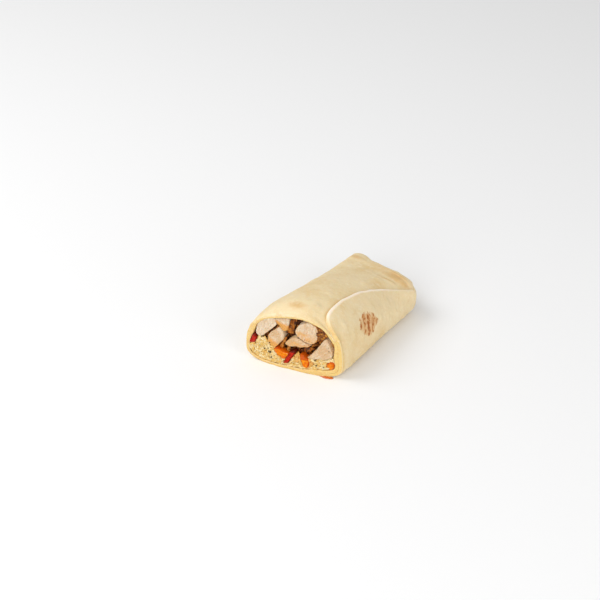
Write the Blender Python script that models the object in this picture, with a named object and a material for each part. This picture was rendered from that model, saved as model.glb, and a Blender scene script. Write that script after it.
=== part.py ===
"""Half of a rolled chicken wrap, cut across on a slant and lying on its base.

The tortilla is one sheet rolled about one and a third turns round the filling. Its free
edge lies on the right shoulder, and its far end is tucked in. The filling runs the whole
length and shows at the cut: chicken, peppers, fried onion and rice. The wrap lies along
+Y, from the cut to the tucked end. All sizes below are in millimetres.
"""

import math

import bmesh
import bpy
import numpy as np

MM = 0.001

# The tortilla sheet
SHEET = 2.2  # thickness of the tortilla
SEAM = 0.3  # gap between the two layers where the roll overlaps itself
SEAM_PLAY = 0.05  # the gap starts this much below the outer layer
LIP = 2.7  # step down from the free edge to the layer under it
LIP_FADE = 28.0  # degrees over which the step dies away on each side
START_ANGLE = 260.0  # where the inner end of the sheet lies, under the filling
EDGE_ANGLE = 0.6  # half the angle that a step's face takes up
CLEAR = 0.3  # gap between neighbouring pieces of filling
WALL_CLEAR = 0.55  # gap between the filling and the tortilla, at the corners of both

# The roll: stations from the cut (0) to the start of the rim at the far end (1)
STATIONS = (0.0, 0.08, 0.2, 0.4, 0.6, 0.8, 1.0)
HALF_WIDTH = (31.2, 31.3, 31.0, 30.0, 29.0, 28.0, 27.2)
HEIGHT = (39.9, 43.0, 43.6, 40.9, 36.2, 31.0, 27.0)
WIDEST_AT = (13.4, 13.9, 13.9, 13.4, 12.9, 12.4, 11.9)  # height of the widest point
LEAN = (0.0, 0.0, 0.0, 0.01, 0.02, 0.03, 0.04)  # how much the top sinks to the right
CENTRE = (41.6, 43.8)  # middle of the section, across, at the cut and at the far end
SHIFT = (41.757, -16.286)  # middle of the whole roll, which the origin is set under
FLATTENED = 0.4  # the underside is pressed flat by this much
TOP_POWER = (2.05, 1.1)  # superellipse power over the top, and its gain along the roll
BASE_POWER = (4.2, -0.9)  # the same for the underside

# Its two ends
CUT_AT = -63.8  # Y of the cut, on the middle of the section
CUT_SLANT = math.tan(math.radians(14))
FOOT = 3.0  # the foot of the cut stands forward by this much
FOOT_HEIGHT = 9.6  # height over which that dies away
FOOT_MIDDLE = 43.5  # X where it is most
FOOT_HALF = 31.0  # and half the width over which it lasts
END_AT = 36.2  # Y of the far end, on the middle of the section
END_SLANT = -0.12
RIM_LENGTH = 5.5  # the rounding between the side and the far end, along the roll
RIM_INSET = 4.0  # and across it
TUCK = 4.5  # depth of the tucked-in middle of the far end
TUCK_WIDTH = 0.5  # its length, as a share of the half width
TUCK_HEIGHT = 0.45  # how high it lies, as a share of the height
TUCK_THICK = 0.5  # half the thickness of the fold's innermost line

# The free edge: where it runs, as an angle round the section, against the stations
FLAP_STATIONS = (0, 0.02, 0.05, 0.08, 0.12, 0.2, 0.35, 0.5, 0.65, 0.8, 0.92, 1.0, 1.5, 2, 3)
FLAP_ANGLES = (31, 44, 54, 59, 62, 65, 66, 63, 56, 46, 37, 31, 25, 20, 20)

# How finely the sheet is divided
TOP_ANGLE = 100.0  # from this angle on, the columns stay where they are along the roll
SIDE_ANGLE = 362.0  # and past this one they follow the free edge again
COLUMNS = (8, 20, 12, 4)  # free edge to top, to the start of the sheet, to the right side, to the edge
ARC_SAMPLES = 240
SEAM_REACH = (2.0, 1.5)  # degrees by which the gap runs out past the sheet's two edges
START_EDGES = 5  # the step at the start of the sheet is this much wider than the one at the free edge
LIP_ROWS = 0.8  # stations past the rim's start over which the step dies away
SIDE_ROWS = (0, 0.02, 0.05, 0.1, 0.16, 0.25, 0.37, 0.5, 0.66, 0.8, 0.91, 1.0)
END_ROWS = (1.33, 1.66, 2.0, 2.4, 2.75, 3.0)
HOLLOW_ROWS = (-0.05, 0, 0.02, 0.05, 0.1, 0.16, 0.25, 0.37, 0.5, 0.66, 0.8, 0.9, 0.94)
SEAM_ROWS = (-0.04, 0, 0.02, 0.05, 0.1, 0.16, 0.25, 0.37, 0.5, 0.66, 0.8, 0.93)
SHORTEST_ROW = 0.008  # stations closer together than this are left out
LIMIT_COARSER = 2  # the limit of the filling has this many times fewer columns
SHARP_ANGLE = 35.0

# The filling. Each piece has the depth of its front behind the cut, and its outline there as
# points (across from the middle of the cut, height).
FRONT_ROW = 0.06
FILLING_ROWS = (0.15, 0.32, 0.5, 0.7)  # stations between a piece's two ends
FILLING_END = 30.0  # where the pieces end
BEFORE = -75.0  # a place before the cut
BEYOND = 60.0  # and one beyond the far end
WANDER = 0.7  # how far the filling meanders on its way along
WANDER_WAVES = ((7.0, 9.0), (9.0, 8.0))  # sideways and up: radians along it, and mm across to a radian
PIECES = {
    "chicken_1": (2.0, [(-25.5, 21), (-23.6, 28.4), (-20, 32), (-16.2, 32.9), (-13.6, 31), (-11.8, 27),
                        (-15.8, 22.2), (-19.9, 18), (-23.6, 17.4)]),
    "chicken_2": (2.5, [(-17.9, 19.4), (-13.5, 23.3), (-10.2, 25.7), (-8.5, 21.4), (-8.9, 18), (-10.7, 15.6),
                        (-14, 13.6), (-17.6, 15.6)]),
    "chicken_3": (4.0, [(-12.5, 31.4), (-9.5, 32.6), (-6.0, 31.6), (-7.2, 28), (-8.8, 25.4), (-10.6, 27)]),
    "chicken_4": (1.5, [(0.6, 25.2), (1.2, 29.2), (3.4, 33), (7.4, 34.6), (11.6, 34.3), (13.9, 32),
                        (14.1, 27), (13.4, 22), (9.8, 20), (3.5, 22.2)]),
    "chicken_5": (1.5, [(-5.6, 16.6), (-3, 19.4), (2.8, 21), (8.8, 18.8), (5.4, 16.9), (-3.5, 15.7)]),
    "chicken_6": (1.0, [(19.5, 25), (23.3, 20.4), (23.8, 15.4), (22.6, 12.5), (8.6, 10), (12.6, 15.4),
                        (15.8, 21)]),
    "chicken_7": (2.5, [(14.9, 31.8), (16.8, 31.8), (20.2, 27.4), (18.6, 25.8), (15.6, 23.2), (14.8, 25)]),
    "onion_1": (3.5, [(-4.5, 32.4), (-1, 32.8), (-1.6, 22.4), (-5.8, 21.2), (-5.4, 26.5)]),
    "onion_2": (3.0, [(-7.9, 18.3), (-6.9, 18), (-6.5, 14.7), (-8.7, 13.5), (-9.5, 14.8), (-8.2, 16.9)]),
    "onion_3": (2.0, [(0.6, 14.5), (5.4, 15.5), (8.6, 14.9), (7, 12.6), (3.2, 12.3), (1.2, 13.2)]),
    "pepper_red_1": (1.0, [(-28.4, 16.3), (-25.6, 17.8), (-23.8, 15.9), (-26.3, 11.4), (-28.8, 12.7)]),
    "pepper_red_2": (0.5, [(-3.1, 10.6), (-0.6, 12.9), (0.8, 11.6), (-2.2, 4.9), (-5.4, 2.9), (-6.2, 4.3),
                           (-3.3, 6.6)]),
    "pepper_orange_1": (1.0, [(-12.6, 11.2), (-9.5, 12), (-5.2, 9), (-4.3, 7.4), (-7, 5.5), (-10.6, 8.2)]),
    "pepper_orange_2": (0.5, [(3.6, 11.1), (6.9, 10.1), (9.2, 6.2), (9.6, 4.7), (6.9, 3.9), (5.2, 7.6)]),
    "pepper_orange_3": (0.5, [(21.7, 10.8), (24.8, 11.3), (26, 8), (23.7, 5.3), (21.5, 7.3)]),
}
RICE_LEVEL = [(-36, 15.5), (-25.5, 15), (-22.5, 16.6), (-19, 16.3), (-17, 12.8), (-12, 11.4),
              (-5, 10.8), (-1, 10.4), (4.5, 10.4), (10, 11.4), (22, 14), (36, 14.5)]  # top of the rice
HOLDER_HEIGHTS = (-3, 52)  # past the hollow below and above
RICE_FROM = 0.01  # the station where the rice ends, behind the cut
ONION_FROM = 0.05  # and the one where the onion and sauce end

COLOURS = {
    "tortilla": (0.80, 0.68, 0.47, 0.75),
    "chicken": (0.74, 0.60, 0.46, 0.55),
    "onion": (0.30, 0.13, 0.04, 0.4),
    "pepper_red": (0.60, 0.03, 0.01, 0.35),
    "pepper_orange": (0.80, 0.25, 0.02, 0.35),
    "rice": (0.80, 0.62, 0.27, 0.6),
}


def smooth(at, stops, values):
    """Cubic curve through the values, read at the given stations."""
    stops = np.asarray(stops, float)
    values = np.asarray(values, float)
    slopes = np.gradient(values, stops)
    i = np.clip(np.searchsorted(stops, at, side="right") - 1, 0, len(stops) - 2)
    span = stops[i + 1] - stops[i]
    t = (at - stops[i]) / span
    ends = (2 * t**3 - 3 * t**2 + 1) * values[i] + (3 * t**2 - 2 * t**3) * values[i + 1]
    return ends + span * ((t**3 - 2 * t**2 + t) * slopes[i] + (t**3 - t**2) * slopes[i + 1])


def ease(t):
    """0 to 1 with level ends."""
    t = np.clip(t, 0, 1)
    return t * t * (3 - 2 * t)


def middle(v):
    """X of the middle of the section."""
    return CENTRE[0] + (CENTRE[1] - CENTRE[0]) * v


def foot(x, z):
    """How far the cut stands forward of its slanted plane, near the ground."""
    across = (x - FOOT_MIDDLE) / FOOT_HALF
    return FOOT * np.clip(1 - across**2, 0, None) * np.exp(-z / FOOT_HEIGHT)


def lengthways(x, forward, v):
    """Y of a point at this station, between the slanted cut and the far end."""
    cut = CUT_AT + CUT_SLANT * (x - CENTRE[0]) - forward
    end = END_AT - RIM_LENGTH + END_SLANT * (x - CENTRE[1])
    return cut * (1 - v) + end * v


def outline(angle, row, inset):
    """Points of the roll. Rows 0 to 1 are its side, 1 to 2 the rim and 2 to 3 the tucked end.

    The section is a superellipse whose upper half is nearly round and whose underside is flat.
    inset is the depth below the outer surface.
    """
    v = min(row, 1)
    turned = min(max(row - 1, 0), 1) * math.pi / 2
    tucked = max(row - 2, 0)
    on_side = max(v, 0)
    half = smooth(on_side, STATIONS, HALF_WIDTH)
    height = smooth(on_side, STATIONS, HEIGHT)
    widest = smooth(on_side, STATIONS, WIDEST_AT)
    smaller = inset + RIM_INSET * (1 - np.cos(turned))
    c, s = np.cos(angle), np.sin(angle)
    upper = s >= 0
    top_power = TOP_POWER[0] + TOP_POWER[1] * on_side**3
    power = 2 / np.where(upper, top_power, BASE_POWER[0] + BASE_POWER[1] * on_side)
    x = (half - smaller) * np.sign(c) * np.abs(c) ** power
    reach = np.where(upper, height - widest, widest) - smaller
    z = widest + reach * np.sign(s) * np.abs(s) ** power
    x = x * (1 - tucked) + tucked * TUCK_WIDTH * half * c
    z = z * (1 - tucked) + tucked * (TUCK_HEIGHT * height + TUCK_THICK * s)
    z = z - smooth(on_side, STATIONS, LEAN) * x * np.clip(z / height, 0, 1)
    z = np.maximum(z, inset + FLATTENED) - FLATTENED
    x = middle(on_side) + x
    y = lengthways(x, foot(x, z), v) + RIM_LENGTH * np.sin(turned) - TUCK * np.sin(tucked * math.pi / 2)
    return np.stack([x - SHIFT[0], y - SHIFT[1], z], -1) * MM


def flap_angle(row):
    """Where the free edge lies, as an angle round the section."""
    return math.radians(float(smooth(row, FLAP_STATIONS, FLAP_ANGLES)))


def even_angles(row, first, last, count):
    """count + 1 angles that divide this stretch of the section into equal lengths."""
    angles = np.linspace(first, last, ARC_SAMPLES)
    points = outline(angles, min(max(row, 0), 1), 0)
    steps = np.linalg.norm(np.diff(points, axis=0), axis=1)
    run = np.concatenate([[0], np.cumsum(steps)])
    return np.interp(np.linspace(0, run[-1], count + 1), run, angles)


def columns(row, coarser=1):
    """Angles round the section: from the free edge to the start of the sheet, and on to the free edge.

    Only the columns near the free edge move with it.
    """
    flap = flap_angle(max(row, 0))
    edge = math.radians(EDGE_ANGLE)
    top, start, side = (math.radians(angle) for angle in (TOP_ANGLE, START_ANGLE, SIDE_ANGLE))
    last = flap + 2 * math.pi - edge
    stretches = ((flap + edge, top), (top, start), (start + START_EDGES * edge, side), (side, last))
    parts = [even_angles(row, *ends, count // coarser) for ends, count in zip(stretches, COLUMNS)]
    return np.append(parts[0], parts[1][1:]), np.append(parts[2], parts[3][1:])


def outer_depth(angle, row):
    """Half of the step stands up before the free edge and half lies below the roll after it."""
    past = np.degrees(angle - flap_angle(max(row, 0)))
    fade = 1 - ease((row - 1) / LIP_ROWS)
    after = 1 - ease(past / LIP_FADE)
    before = 1 - ease((360 - past) / LIP_FADE)
    return LIP / 2 * fade * np.where(past > 180, -before, after)


def outer_ring(row):
    """The outside of the roll at one station."""
    angle = np.concatenate(columns(row))
    return outline(angle, row, outer_depth(angle, row))


def hollow_ring(row, clear=0.0, coarser=1):
    """The inside of the roll at one station, one layer deep or two, plus a clearance."""
    single, double = columns(row, coarser)
    depth = [outer_depth(single, row) + SHEET, outer_depth(double, row) + 2 * SHEET + SEAM + SEAM_PLAY]
    return outline(np.concatenate([single, double]), row, np.concatenate(depth) + clear)


def new_mesh_object(name, bm, collection):
    """Object of a closed mesh, with its faces turned to point out."""
    bmesh.ops.recalc_face_normals(bm, faces=bm.faces)
    if bm.calc_volume(signed=True) < 0:
        bmesh.ops.reverse_faces(bm, faces=bm.faces)
    mesh = bpy.data.meshes.new(name)
    bm.to_mesh(mesh)
    bm.free()
    obj = bpy.data.objects.new(name, mesh)
    collection.objects.link(obj)
    return obj


def loft(name, rings, collection, fans=False):
    """Closed body through rings of equal count. Each end is a face, or a fan round its middle."""
    bm = bmesh.new()
    rows = [[bm.verts.new(point) for point in ring] for ring in rings]
    count = len(rows[0])
    for one, two in zip(rows, rows[1:]):
        for k in range(count):
            bm.faces.new((one[k], one[(k + 1) % count], two[(k + 1) % count], two[k]))
    for row in (rows[0], rows[-1]):
        end = bm.faces.new(row)
        if fans:
            bmesh.ops.poke(bm, faces=[end])
        else:
            bmesh.ops.triangulate(bm, faces=[end])
    return new_mesh_object(name, bm, collection)


def slab(name, upper, lower, collection):
    """Closed sheet between two grids of points of the same size."""
    bm = bmesh.new()
    top = [[bm.verts.new(point) for point in row] for row in upper]
    under = [[bm.verts.new(point) for point in row] for row in lower]
    rows, count = len(top), len(top[0])
    for i in range(rows - 1):
        for k in range(count - 1):
            bm.faces.new((top[i][k], top[i + 1][k], top[i + 1][k + 1], top[i][k + 1]))
            bm.faces.new((under[i][k], under[i][k + 1], under[i + 1][k + 1], under[i + 1][k]))
        for k in (0, -1):
            bm.faces.new((top[i][k], top[i + 1][k], under[i + 1][k], under[i][k]))
    for i in (0, -1):
        for k in range(count - 1):
            bm.faces.new((top[i][k], top[i][k + 1], under[i][k + 1], under[i][k]))
    return new_mesh_object(name, bm, collection)


def seam_cutter(collection):
    """The gap between the layers, from inside the roll to just past the free edge."""
    before, past = (math.radians(angle) for angle in SEAM_REACH)
    grids = ([], [])
    for row in SEAM_ROWS:
        flap = flap_angle(max(row, 0)) + 2 * math.pi
        under = columns(row)[1]
        angle = np.concatenate([[math.radians(START_ANGLE) - before], under, [flap, flap + past]])
        lift = outer_depth(np.minimum(angle, under[-1]), row)
        for grid, depth in zip(grids, (SHEET + SEAM_PLAY, SHEET + SEAM_PLAY + SEAM)):
            grid.append(outline(angle, row, lift + depth))
    return slab("seam_gap", *grids, collection)


def make_tortilla(model, helpers):
    """The roll as a solid, hollowed out, with the gap between its layers cut in."""
    body = loft("tortilla", [outer_ring(row) for row in SIDE_ROWS + END_ROWS], model, fans=True)
    hollow = loft("tortilla_hollow", [hollow_ring(row) for row in HOLLOW_ROWS], helpers, fans=True)
    cut_by(body, hollow, "DIFFERENCE", "EXACT")
    cut_by(body, seam_cutter(helpers), "DIFFERENCE", "EXACT")
    body.data.shade_smooth()
    body.data.set_sharp_from_angle(angle=math.radians(SHARP_ANGLE))
    return body


def cut_by(obj, cutter, operation, solver="MANIFOLD"):
    """Boolean with a closed cutter. Many cuts in a row on one thin body need the MANIFOLD solver."""
    modifier = obj.modifiers.new(f"{operation.title()} {cutter.name}", "BOOLEAN")
    modifier.operation = operation
    modifier.solver = solver
    modifier.object = cutter
    cutter.hide_render = True
    cutter.display_type = "WIRE"


def grown(shape, by):
    """The outline moved outwards by a distance, corner by corner."""
    points = np.asarray(shape, float)
    along = np.roll(points, -1, axis=0) - points
    area = np.sum(points[:, 0] * np.roll(points[:, 1], -1) - np.roll(points[:, 0], -1) * points[:, 1])
    out = np.stack([along[:, 1], -along[:, 0]], 1) * np.sign(area)
    out /= np.linalg.norm(out, axis=1)[:, None]
    before = np.roll(out, 1, axis=0)
    corner = (out + before) / (1 + np.sum(out * before, axis=1))[:, None]
    longest = np.linalg.norm(corner, axis=1)[:, None]
    return points + by * corner / np.maximum(longest / 2, 1)


def filling_ring(shape, v, at=None):
    """An outline drawn on the cut, carried to station v: it shrinks with the roll and wanders a little.

    It stays in one plane, which is square to the roll where at gives its place along it.
    """
    u, z = np.asarray(shape, float).T
    near = np.clip(v, 0, 1)
    sideways, up = WANDER_WAVES
    u = u + WANDER * near * np.sin(sideways[0] * near + z / sideways[1])
    z = z + WANDER * near * np.sin(up[0] * near + u / up[1])
    width = (smooth(near, STATIONS, HALF_WIDTH) - SHEET) / (HALF_WIDTH[0] - SHEET)
    height = (smooth(near, STATIONS, HEIGHT) - SHEET) / (HEIGHT[0] - SHEET)
    x = middle(near) + u * width
    z = SHEET + (z - SHEET) * height
    y = lengthways(x, foot(np.mean(x), np.mean(z)), v) - SHIFT[1]
    if at is not None:
        y = np.full_like(x, at)
    return np.stack([x - SHIFT[0], y, z], -1) * MM


def filling_loft(name, shape, front, last, collection):
    """An outline carried along the roll, from its rings at the front to the place where it ends."""
    between = [filling_ring(shape, v) for v in FILLING_ROWS]
    return loft(name, [*front, *between, filling_ring(shape, FILLING_ROWS[-1], at=last)], collection)


def through_cut(shape):
    """The rings at the front of a body that reaches out through the cut."""
    return [filling_ring(shape, 0, at=BEFORE), filling_ring(shape, 0), filling_ring(shape, FRONT_ROW)]


def behind_cut(shape, set_back):
    """The rings at the front of a piece that ends this far behind the cut."""
    v = set_back / (END_AT - CUT_AT)
    stations = (v, FRONT_ROW) if v < FRONT_ROW / 2 else (v,)
    return [filling_ring(shape, at_station) for at_station in stations]


def make_inside(name, first, helpers):
    """The space that the filling may take up, from this station on."""
    rows = [first] + [row for row in HOLLOW_ROWS[:-1] if row > first + SHORTEST_ROW]
    return loft(name, [hollow_ring(row, WALL_CLEAR, LIMIT_COARSER) for row in rows], helpers, fans=True)


def make_pieces(model, helpers, inside):
    """Each piece of the filling, and a slightly larger copy that cuts its room out of what holds it."""
    rooms = []
    pieces = []
    for name, (set_back, shape) in PIECES.items():
        piece = filling_loft(name, shape, behind_cut(shape, set_back), FILLING_END, model)
        cut_by(piece, inside, "INTERSECT")
        pieces.append(piece)
        room = grown(shape, CLEAR)
        rooms.append(filling_loft(name + "_room", room, through_cut(room), FILLING_END + CLEAR, helpers))
    return pieces, rooms


def make_holders(model, helpers, inside, rooms):
    """The rice under the pieces, and the fried onion and sauce between and over them."""
    (right, _), (left, _) = RICE_LEVEL[-1], RICE_LEVEL[0]
    low, high = HOLDER_HEIGHTS
    below = [*RICE_LEVEL, (right, low), (left, low)]
    above = [(u, z + CLEAR) for u, z in RICE_LEVEL] + [(right, high), (left, high)]
    holders = []
    for name, shape in (("rice_bed", below), ("onion_mix", above)):
        holder = filling_loft(name, shape, through_cut(shape), BEYOND, model)
        cut_by(holder, inside[name], "INTERSECT")
        for room in rooms:
            cut_by(holder, room, "DIFFERENCE")
        holders.append(holder)
    return holders


def finish(obj, colour):
    """A plain material in the food's own colour."""
    *rgb, roughness = COLOURS[colour]
    material = bpy.data.materials.get(colour) or bpy.data.materials.new(colour)
    material.use_nodes = True
    shader = material.node_tree.nodes["Principled BSDF"]
    shader.inputs["Base Color"].default_value = (*rgb, 1)
    shader.inputs["Roughness"].default_value = roughness
    material.diffuse_color = (*rgb, 1)
    obj.data.materials.append(material)


def main():
    for obj in list(bpy.data.objects):
        bpy.data.objects.remove(obj, do_unlink=True)
    model = bpy.data.collections.new("chicken_wrap")
    helpers = bpy.data.collections.new("cutters")
    for collection in (model, helpers):
        bpy.context.scene.collection.children.link(collection)

    tortilla = make_tortilla(model, helpers)
    inside = {
        name: make_inside(name + "_limit", first, helpers)
        for name, first in (("pieces", HOLLOW_ROWS[0]), ("rice_bed", RICE_FROM), ("onion_mix", ONION_FROM))
    }
    pieces, rooms = make_pieces(model, helpers, inside["pieces"])
    holders = make_holders(model, helpers, inside, rooms)
    for obj in [tortilla, *pieces, *holders]:
        finish(obj, next(kind for kind in COLOURS if obj.name.startswith(kind)))
    helpers.hide_render = True


main()
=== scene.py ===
"""Looks of half a chicken wrap: the rolled tortilla, and the chicken, peppers, onion and rice at its cut.

Every shape is worked out in millimetres, in the frame of the solids, and follows the same formulas
as they do. It is laid out as an add-on, and runs as a script.
"""

import math

import bmesh
import bpy
import numpy as np
from bpy.props import FloatProperty, FloatVectorProperty, IntProperty, PointerProperty
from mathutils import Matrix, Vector


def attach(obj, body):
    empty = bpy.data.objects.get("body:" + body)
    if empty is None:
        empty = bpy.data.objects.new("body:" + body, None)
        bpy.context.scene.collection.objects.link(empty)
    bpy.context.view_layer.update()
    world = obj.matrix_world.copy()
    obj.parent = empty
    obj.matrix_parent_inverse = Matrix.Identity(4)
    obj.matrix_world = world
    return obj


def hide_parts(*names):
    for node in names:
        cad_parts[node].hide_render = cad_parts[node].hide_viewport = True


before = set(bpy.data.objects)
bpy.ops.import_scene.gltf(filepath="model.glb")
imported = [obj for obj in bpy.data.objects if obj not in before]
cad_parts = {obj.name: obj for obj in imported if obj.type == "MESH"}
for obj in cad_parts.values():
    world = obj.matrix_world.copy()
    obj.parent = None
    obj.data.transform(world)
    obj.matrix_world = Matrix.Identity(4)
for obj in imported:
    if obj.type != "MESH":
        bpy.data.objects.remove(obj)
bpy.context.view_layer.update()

bl_info = {
    "name": "Chicken wrap",
    "version": (1, 0, 0),
    "blender": (4, 5, 0),
    "location": "3D View > Sidebar > Wrap",
    "description": "Makes the tortilla, filling and stage of half a chicken wrap",
    "category": "Object",
}

MM = 0.001

# The roll, as its solid has it: lengths in mm, angles in degrees round the section from its right side
SHEET = 2.2
LIP = 2.7
LIP_FADE = 28.0
LIP_ROWS = 0.95
START_ANGLE = 260.0
START_TURN = 3.0
START_EDGES = 5
START_WIDTH = 34.0
SHEET_AT = (0, 31, 60, 80, 98, 112, 128, 148, 165, 180, 200, 230, 270, 300, 345, 368, 384, 391, 430)
SHEET_THICK = (
    2.0, 2.0, 1.8, 2.4, 3.7, 3.8, 2.8, 2.6, 3.7, 2.6, 1.8, 1.6, 1.7, 1.8, 2.1, 3.3, 2.3, 2.0, 2.0,
)
SECOND_LAYER = 2.2
STATIONS = (0.0, 0.08, 0.2, 0.4, 0.6, 0.8, 1.0)
HALF_WIDTH = (31.2, 31.3, 31.0, 30.0, 29.0, 28.0, 27.2)
HEIGHT = (39.9, 43.0, 43.6, 40.9, 36.2, 31.0, 27.0)
WIDEST_AT = (13.4, 13.9, 13.9, 13.4, 12.9, 12.4, 11.9)
LEAN = (0.0, 0.0, 0.0, 0.01, 0.02, 0.03, 0.04)
CENTRE = (41.6, 43.8)
SHIFT = (41.757, -16.286)
FLATTENED = 0.4
TOP_POWER = (2.05, 1.1)
BASE_POWER = (4.2, -0.9)
CUT_AT = -63.8
CUT_SLANT = math.tan(math.radians(14))
FOOT = 3.0
FOOT_HEIGHT = 9.6
FOOT_MIDDLE = 43.5
FOOT_HALF = 31.0
END_AT = 36.2
END_SLANT = -0.12
RIM_LENGTH = 5.5
RIM_INSET = 4.0
TUCK = 4.5
TUCK_WIDTH = 0.5
TUCK_HEIGHT = 0.45
TUCK_THICK = 0.5
FLAP_STATIONS = (0, 0.02, 0.05, 0.08, 0.12, 0.2, 0.35, 0.5, 0.65, 0.8, 0.92, 1.0, 1.5, 2, 3)
FLAP_ANGLES = (31, 44, 54, 58.5, 61, 63.4, 65, 64, 60, 50, 36.5, 28, 25, 24, 24)
TOP_ANGLE = 100.0
SIDE_ANGLE = 340.0
LENGTH = END_AT - CUT_AT

# The filling, as its solids have it
WANDER = 0.7
WANDER_WAVES = ((7.0, 9.0), (9.0, 8.0))
FILLING_ROWS = (0.15, 0.32, 0.5, 0.7)
FILLING_END = 30.0
CORE_MIDDLE = 14
SLIMMER = np.array([0.95, 0.88, 0.82, 0.76])
PIECES = {
    "chicken_1": (1.3, [
        (-25.1, 22.6), (-23.8, 26.6), (-21.7, 29.3), (-18.5, 31.5), (-15.3, 33.1), (-12.9, 31),
        (-11.9, 27.6), (-14, 25.1), (-17.2, 22), (-19.7, 18.4), (-22.7, 17.5), (-24.7, 19)
    ]),
    "chicken_2": (1.0, [
        (-17.3, 19.4), (-14.7, 22.7), (-11.5, 25.9), (-9.7, 26.8), (-7.9, 24.3), (-6.6, 21.6),
        (-7.8, 17.9), (-10.2, 14.4), (-12.2, 12.2), (-15, 12.6), (-17, 15.1), (-17.7, 17.5)
    ]),
    "chicken_3": (2.0, [
        (-13.4, 31.2), (-10.6, 32.9), (-6.9, 33.4), (-3.9, 33.4), (-4.2, 29.2), (-5.7, 24.4),
        (-8.2, 24.5), (-10.3, 26.4), (-11.9, 28.6)
    ]),
    "chicken_4": (1.0, [
        (0.9, 28.2), (1.9, 31.2), (5.2, 33.4), (9.5, 34.6), (13.2, 34), (14.9, 31.8), (15.2, 27),
        (14.6, 22.6), (11.9, 20.5), (8.4, 20.1), (5, 21.3), (1.6, 23.6), (0.3, 26)
    ]),
    "chicken_5": (0.7, [
        (-5.9, 16.4), (-4.1, 19.5), (-1.5, 21.7), (1.1, 22.9), (4.6, 20.9), (8.2, 19.6), (11.8, 19.9),
        (9.4, 18.3), (4.9, 16.9), (0, 15.9), (-3.6, 15.3)
    ]),
    "chicken_6": (0.3, [
        (19.2, 25.6), (20.8, 25.5), (22.7, 21.4), (24.3, 17.1), (23.7, 13.1), (18.6, 11.2),
        (12.9, 10.5), (8.3, 10.4), (11.4, 13.3), (13.9, 17.2), (16.5, 21.7)
    ]),
    "chicken_7": (1.6, [
        (12.9, 34.4), (16.3, 33.6), (19.2, 30.9), (21.9, 28), (18.7, 25.3), (14.6, 22.4), (13.4, 24.2),
        (13.6, 30.8)
    ]),
    "onion_1": (2.2, [
        (-4.1, 29.4), (-3.3, 33.4), (0.1, 34.7), (0.5, 31.9), (-0.3, 27), (-0.9, 23.3), (-4.3, 22.4),
        (-6.4, 23.3), (-5.2, 26.1)
    ]),
    "onion_2": (1.6, [
        (-8, 18.8), (-5.7, 21.5), (-4.5, 20.6), (-5.9, 17.4), (-6.9, 15), (-6.2, 12.9), (-9.1, 12.1),
        (-10, 13.9)
    ]),
    "onion_3": (1.6, [
        (3.4, 14.7), (5.7, 16.1), (9.2, 17.2), (12.2, 17.5), (13, 16.5), (10.1, 13.6), (7.1, 12.7),
        (4.2, 13)
    ]),
    "pepper_red_1": (0.15, [
        (-25, 19), (-23.9, 17.2), (-24.8, 14.2), (-26, 11.5), (-28.4, 11.5), (-29.4, 12.2),
        (-28.7, 14.7), (-27, 17)
    ]),
    "pepper_red_2": (0.1, [
        (-2.7, 11.8), (-0.7, 13.3), (1.1, 12.7), (-0.5, 9.3), (-1.9, 4.6), (-2.8, 3.3), (-5.9, 2.9),
        (-6.3, 4), (-4.5, 5.9), (-3.2, 8.9)
    ]),
    "pepper_orange_1": (0.1, [
        (-12.3, 11.6), (-9.7, 12.3), (-6.7, 10.8), (-3.8, 10.3), (-3.5, 8.6), (-4.9, 6.1), (-7.4, 6.4),
        (-10.1, 7.9), (-11.9, 9.4)
    ]),
    "pepper_orange_2": (0.1, [
        (3.7, 12.2), (5.4, 12.3), (9.2, 9.6), (10.2, 7.1), (10, 4.6), (8.2, 3.5), (6.9, 4.7), (5.4, 7.6)
    ]),
    "pepper_orange_3": (0.1, [
        (21.7, 9.7), (23.5, 11.3), (25.2, 10.4), (26.2, 8.6), (24.9, 6), (23, 5.4), (21.6, 6.9)
    ]),
}
RICE_LEVEL = [
    (-36, 15.5), (-25.5, 16), (-22.5, 17.6), (-19.5, 17.2), (-17, 14.2), (-12, 11.8),
    (-5, 10.8), (-1, 10.4), (4.5, 11.4), (10, 11.4), (22, 14), (36, 14.5),
]

# How each kind of piece shows at the cut: mm of coarse and of fine roughness, the rounding of its rim in mm
# and how many mm its outline is ragged
CUTS = {
    "chicken": (0.45, 0.28, 0.55, 0.3),
    "pepper": (0.5, 0.2, 0.7, 0.55),
    "onion": (0.8, 0.3, 0.8, 0.55),
}

# Where loose shreds and grains may lie at the cut: the least across and up, and the most
SHRED_AREA = ((-27, 8), (25, 38))
GRAIN_AREA = ((-29, 2.5), (28, 18))
SHRED_TRIES = 6000

# How finely the roll is drawn: columns from the free edge to the top, the sheet's start, the right side and
# the free edge again, and rows from the cut to the far end
COLUMNS = (36, 84, 56, 22)
SIDE_ROWS = np.concatenate([[0, 0.003, 0.007, 0.013], np.linspace(0.02, 1, 106)])
END_ROWS = np.concatenate([np.linspace(1.08, 2, 13), np.linspace(2.04, 3, 26)])
WALL_ROWS = (
    0.006, 0.012, 0.02, 0.03, 0.045, 0.065, 0.09, 0.13, 0.2, 0.3, 0.4, 0.5, 0.6, 0.7, 0.8, 0.9, 0.94,
)
NOISE_SIDE = 32
HOLLOW_POINTS = 160


def linear(red, green, blue):
    """A colour given as screen values from 0 to 255, as the linear values that shaders take."""
    screen = [value / 255 for value in (red, green, blue)]
    return tuple(c / 12.92 if c < 0.04 else ((c + 0.055) / 1.055) ** 2.4 for c in screen)


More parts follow.
